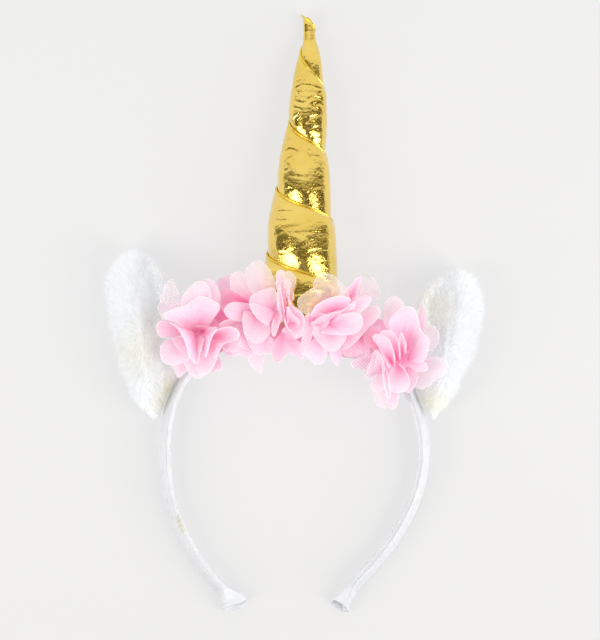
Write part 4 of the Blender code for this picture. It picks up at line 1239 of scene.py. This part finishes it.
def ear_height(side, x, y):
    """Height of the front of an ear: two rolls of fur with a hollow between."""
    high_out, high_in, at_out, at_in, at_hollow = EAR_ROLLS[side]
    left, right, bottom, top = ear_lines(side, y)
    across = (x - left) / np.maximum(right - left, 1.0)
    if side == "right":
        across = 1 - across
    along = (y - bottom) / (top - bottom)
    length = np.sqrt(np.maximum(0.0, 1 - np.abs(2 * along - 1.05) ** 3.2))
    roll_out = high_out * hill(across, at_out, OUTER_ROLL_SPREAD) * OUTER_ROLL_SHARE
    roll_in = high_in * hill(across, at_in, INNER_ROLL_SPREAD) * INNER_ROLL_SHARE
    hollow = HOLLOW_HEIGHT * hill(across, at_hollow, HOLLOW_SPREAD)
    return EAR_FRONT_Z + length * (np.maximum(roll_out, roll_in) + hollow)


def make_ear(side, pelt, fur):
    """Soft ear: a plump pelt with strands of fur all over it."""
    _, _, bottom, top = ear_lines(side, 0.0)

    def surface(u, v):
        angle = 2 * math.pi * u
        y = bottom + PELT_INSET + (top - bottom - 2 * PELT_INSET) * v
        left, right, _, _ = ear_lines(side, y)
        half = np.maximum((right - left) / 2 - PELT_INSET, 0.05)
        half = half * rounded_ends(v, 40)
        x = (left + right) / 2 - half * np.cos(angle)
        share = np.abs(np.cos(angle))
        inward = 1 - share**EAR_RIM_POWER
        height = ear_height(side, x, y) - PELT_UNDER_FUR
        z_front = EAR_RIM_Z + (height - EAR_RIM_Z) * inward
        z_back = EAR_RIM_Z + (EAR_BACK_Z + 1.0 - EAR_RIM_Z) * inward
        z = np.where(np.sin(angle) > 0, z_front, z_back)
        z = z + 0.5 * waves(x, y, z, 6.0) * (share < 0.999)
        return np.column_stack([x, y, np.maximum(z, EAR_BACK_Z)])

    node = f"ear_{side}_fur"
    body = shaped_grid(f"ear_{side}_pelt", 96, 100, surface, closed=True)
    finish_piece(body, pelt, node)
    make_strands(f"ear_{side}_strands", side, body, fur, STRANDS, STRAND_LENGTH, node)


def make_lining(side, pelt, fur):
    """Cream cloth in the hollow of the ear, with short pile on it."""
    edge = placed(LININGS[side] + LININGS[side][:1])
    middle = edge[:-1].mean(axis=0)
    ring = smooth_rows(edge, 80)

    def surface(u, v):
        far = at_share(ring, u)
        x = middle[0] + (far[:, 0] - middle[0]) * v
        y = middle[1] + (far[:, 1] - middle[1]) * v
        z = ear_height(side, x, y) + 0.4 + 0.4 * waves(x, y, 0 * x, 4.0)
        return np.column_stack([x, y, z])

    node = f"ear_{side}_inner"
    piece = shaped_grid(f"ear_{side}_lining", 64, 24, surface, closed=True)
    give_wall(piece, LINING_WALL)
    finish_piece(piece, pelt, node)
    make_strands(f"ear_{side}_pile", side, piece, fur, PILE_STRANDS, PILE_LENGTH, node)


def scatter(mesh, points, count, rng):
    """Random places on a mesh, fewer on its back, and the way out of it at each of them."""
    mesh.calc_loop_triangles()
    total = len(mesh.loop_triangles)
    corners = np.empty(total * 3, int)
    mesh.loop_triangles.foreach_get("vertices", corners)
    corners = corners.reshape(-1, 3)
    a, b, c = points[corners[:, 0]], points[corners[:, 1]], points[corners[:, 2]]
    normal = np.cross(b - a, c - a)
    area = np.linalg.norm(normal, axis=1)
    chance = area * np.where(normal[:, 2] > -0.3 * area, 1.0, BACK_STRANDS)
    pick = rng.choice(total, count, p=chance / chance.sum())
    r1, r2 = rng.random((2, count))
    flip = r1 + r2 > 1
    r1, r2 = np.where(flip, 1 - r1, r1), np.where(flip, 1 - r2, r2)
    root = a[pick] + (b[pick] - a[pick]) * r1[:, None] + (c[pick] - a[pick]) * r2[:, None]
    return root, unit(normal[pick])


def nearest_tuft(root):
    """For each strand, which of the first strands it clings to."""
    nearest = np.empty(len(root), int)
    for block in np.array_split(np.arange(len(root)), 40):
        gaps = root[block, None, :] - root[None, :TUFTS, :]
        nearest[block] = np.argmin(np.sum(gaps**2, axis=2), axis=1)
    return nearest


def make_strands(name, side, body, material, count, length, node):
    """Tapered strands that grow from a surface, lean outwards and stand away from it."""
    rng = np.random.default_rng(len(name))
    points = mesh_points(body.data) / MM
    root, up = scatter(body.data, points, count, rng)
    outward = unit((root - points.mean(axis=0)) * [1, 1, 0])
    comb = unit(outward * 0.8 + np.array(COMBED))
    tuft = np.column_stack([waves(*root.T, 5.0), waves(*(root + 40).T, 5.0), 0 * root[:, 0]])
    wander = rng.normal(0, 0.3, (count, 3)) + tuft * 0.7
    lean = unit(up * 0.5 + comb * 0.7 + wander)
    tip_way = unit(lean * 0.6 + comb * 0.6 + wander * 0.6 + np.array(DROOP))
    length = length * rng.uniform(0.55, 1.1, count)[:, None]
    above_lowest = root[:, 1:2] - points[:, 1].min()
    length = length * np.clip(above_lowest / SHORT_STRAND_REACH + SHORTEST_STRAND, SHORTEST_STRAND, 1)
    mid = root + lean * length * 0.5
    tip = mid + tip_way * length * 0.5
    nearest = nearest_tuft(root)
    tip = tip + (tip[nearest] - tip) * TUFT_PULL
    mid = mid + (mid[nearest] - mid) * TUFT_PULL * 0.4
    tip[:, 2] = np.maximum(tip[:, 2], STRAND_TIP_LOWEST_Z)
    mid[:, 2] = np.maximum(mid[:, 2], STRAND_MIDDLE_LOWEST_Z)
    beside = unit(np.cross(lean, rng.normal(0, 1, (count, 3))))
    width = STRAND_WIDTH * rng.uniform(0.7, 1.2, count)[:, None]
    taper = STRAND_TAPER / 2
    stack = np.stack([
        root - beside * width / 2, root + beside * width / 2,
        mid - beside * width * taper, mid + beside * width * taper, tip,
    ], axis=1).reshape(-1, 3) * MM
    first = np.arange(count) * 5
    quads = np.column_stack([first, first + 1, first + 3, first + 2])
    tips = np.column_stack([first + 2, first + 3, first + 4])
    mesh = bpy.data.meshes.new(name)
    mesh.from_pydata(stack.tolist(), [], quads.tolist() + tips.tolist())
    piece = bpy.data.objects.new(name, mesh)
    bpy.context.collection.objects.link(piece)
    # Each strand's creamy tone, partly the brown backing and partly painted shade, goes to the material.
    mark(mesh, "cream_and_shade", np.repeat(ear_tone(side, root, rng), 5))
    finish_piece(piece, material, node)


def ear_tone(side, root, rng):
    """How creamy each strand is, from 0, white, to 1, brown at its backing; in the hollow of the ear the
    creamy tone is painted shade.
    """
    tone = np.abs(rng.normal(0, 0.06, len(root)))
    for x, y, reach, strength in CREAM_AND_SHADE_SPOTS[side]:
        gap = np.hypot(root[:, 0] - photo_x(x), root[:, 1] - photo_y(y))
        near = strength * hill(gap, 0, reach * PIXEL)
        tone = tone + near * rng.uniform(0.3, 1.4, len(root))
    return np.clip(tone, 0, 1)


make_camera()
make_studio()
satin = satin_material()
chiffon = chiffon_material()
make_band(satin)
for end_side in ("left", "right"):
    make_ribbon_end(end_side, satin)
make_horn(lame_material())
make_cord(cord_material())
make_strip(chiffon)
make_flowers(chiffon)
pelt = pelt_material()
fur = fur_material()
for ear_side in ("left", "right"):
    make_ear(ear_side, pelt, fur)
    make_lining(ear_side, pelt, fur)
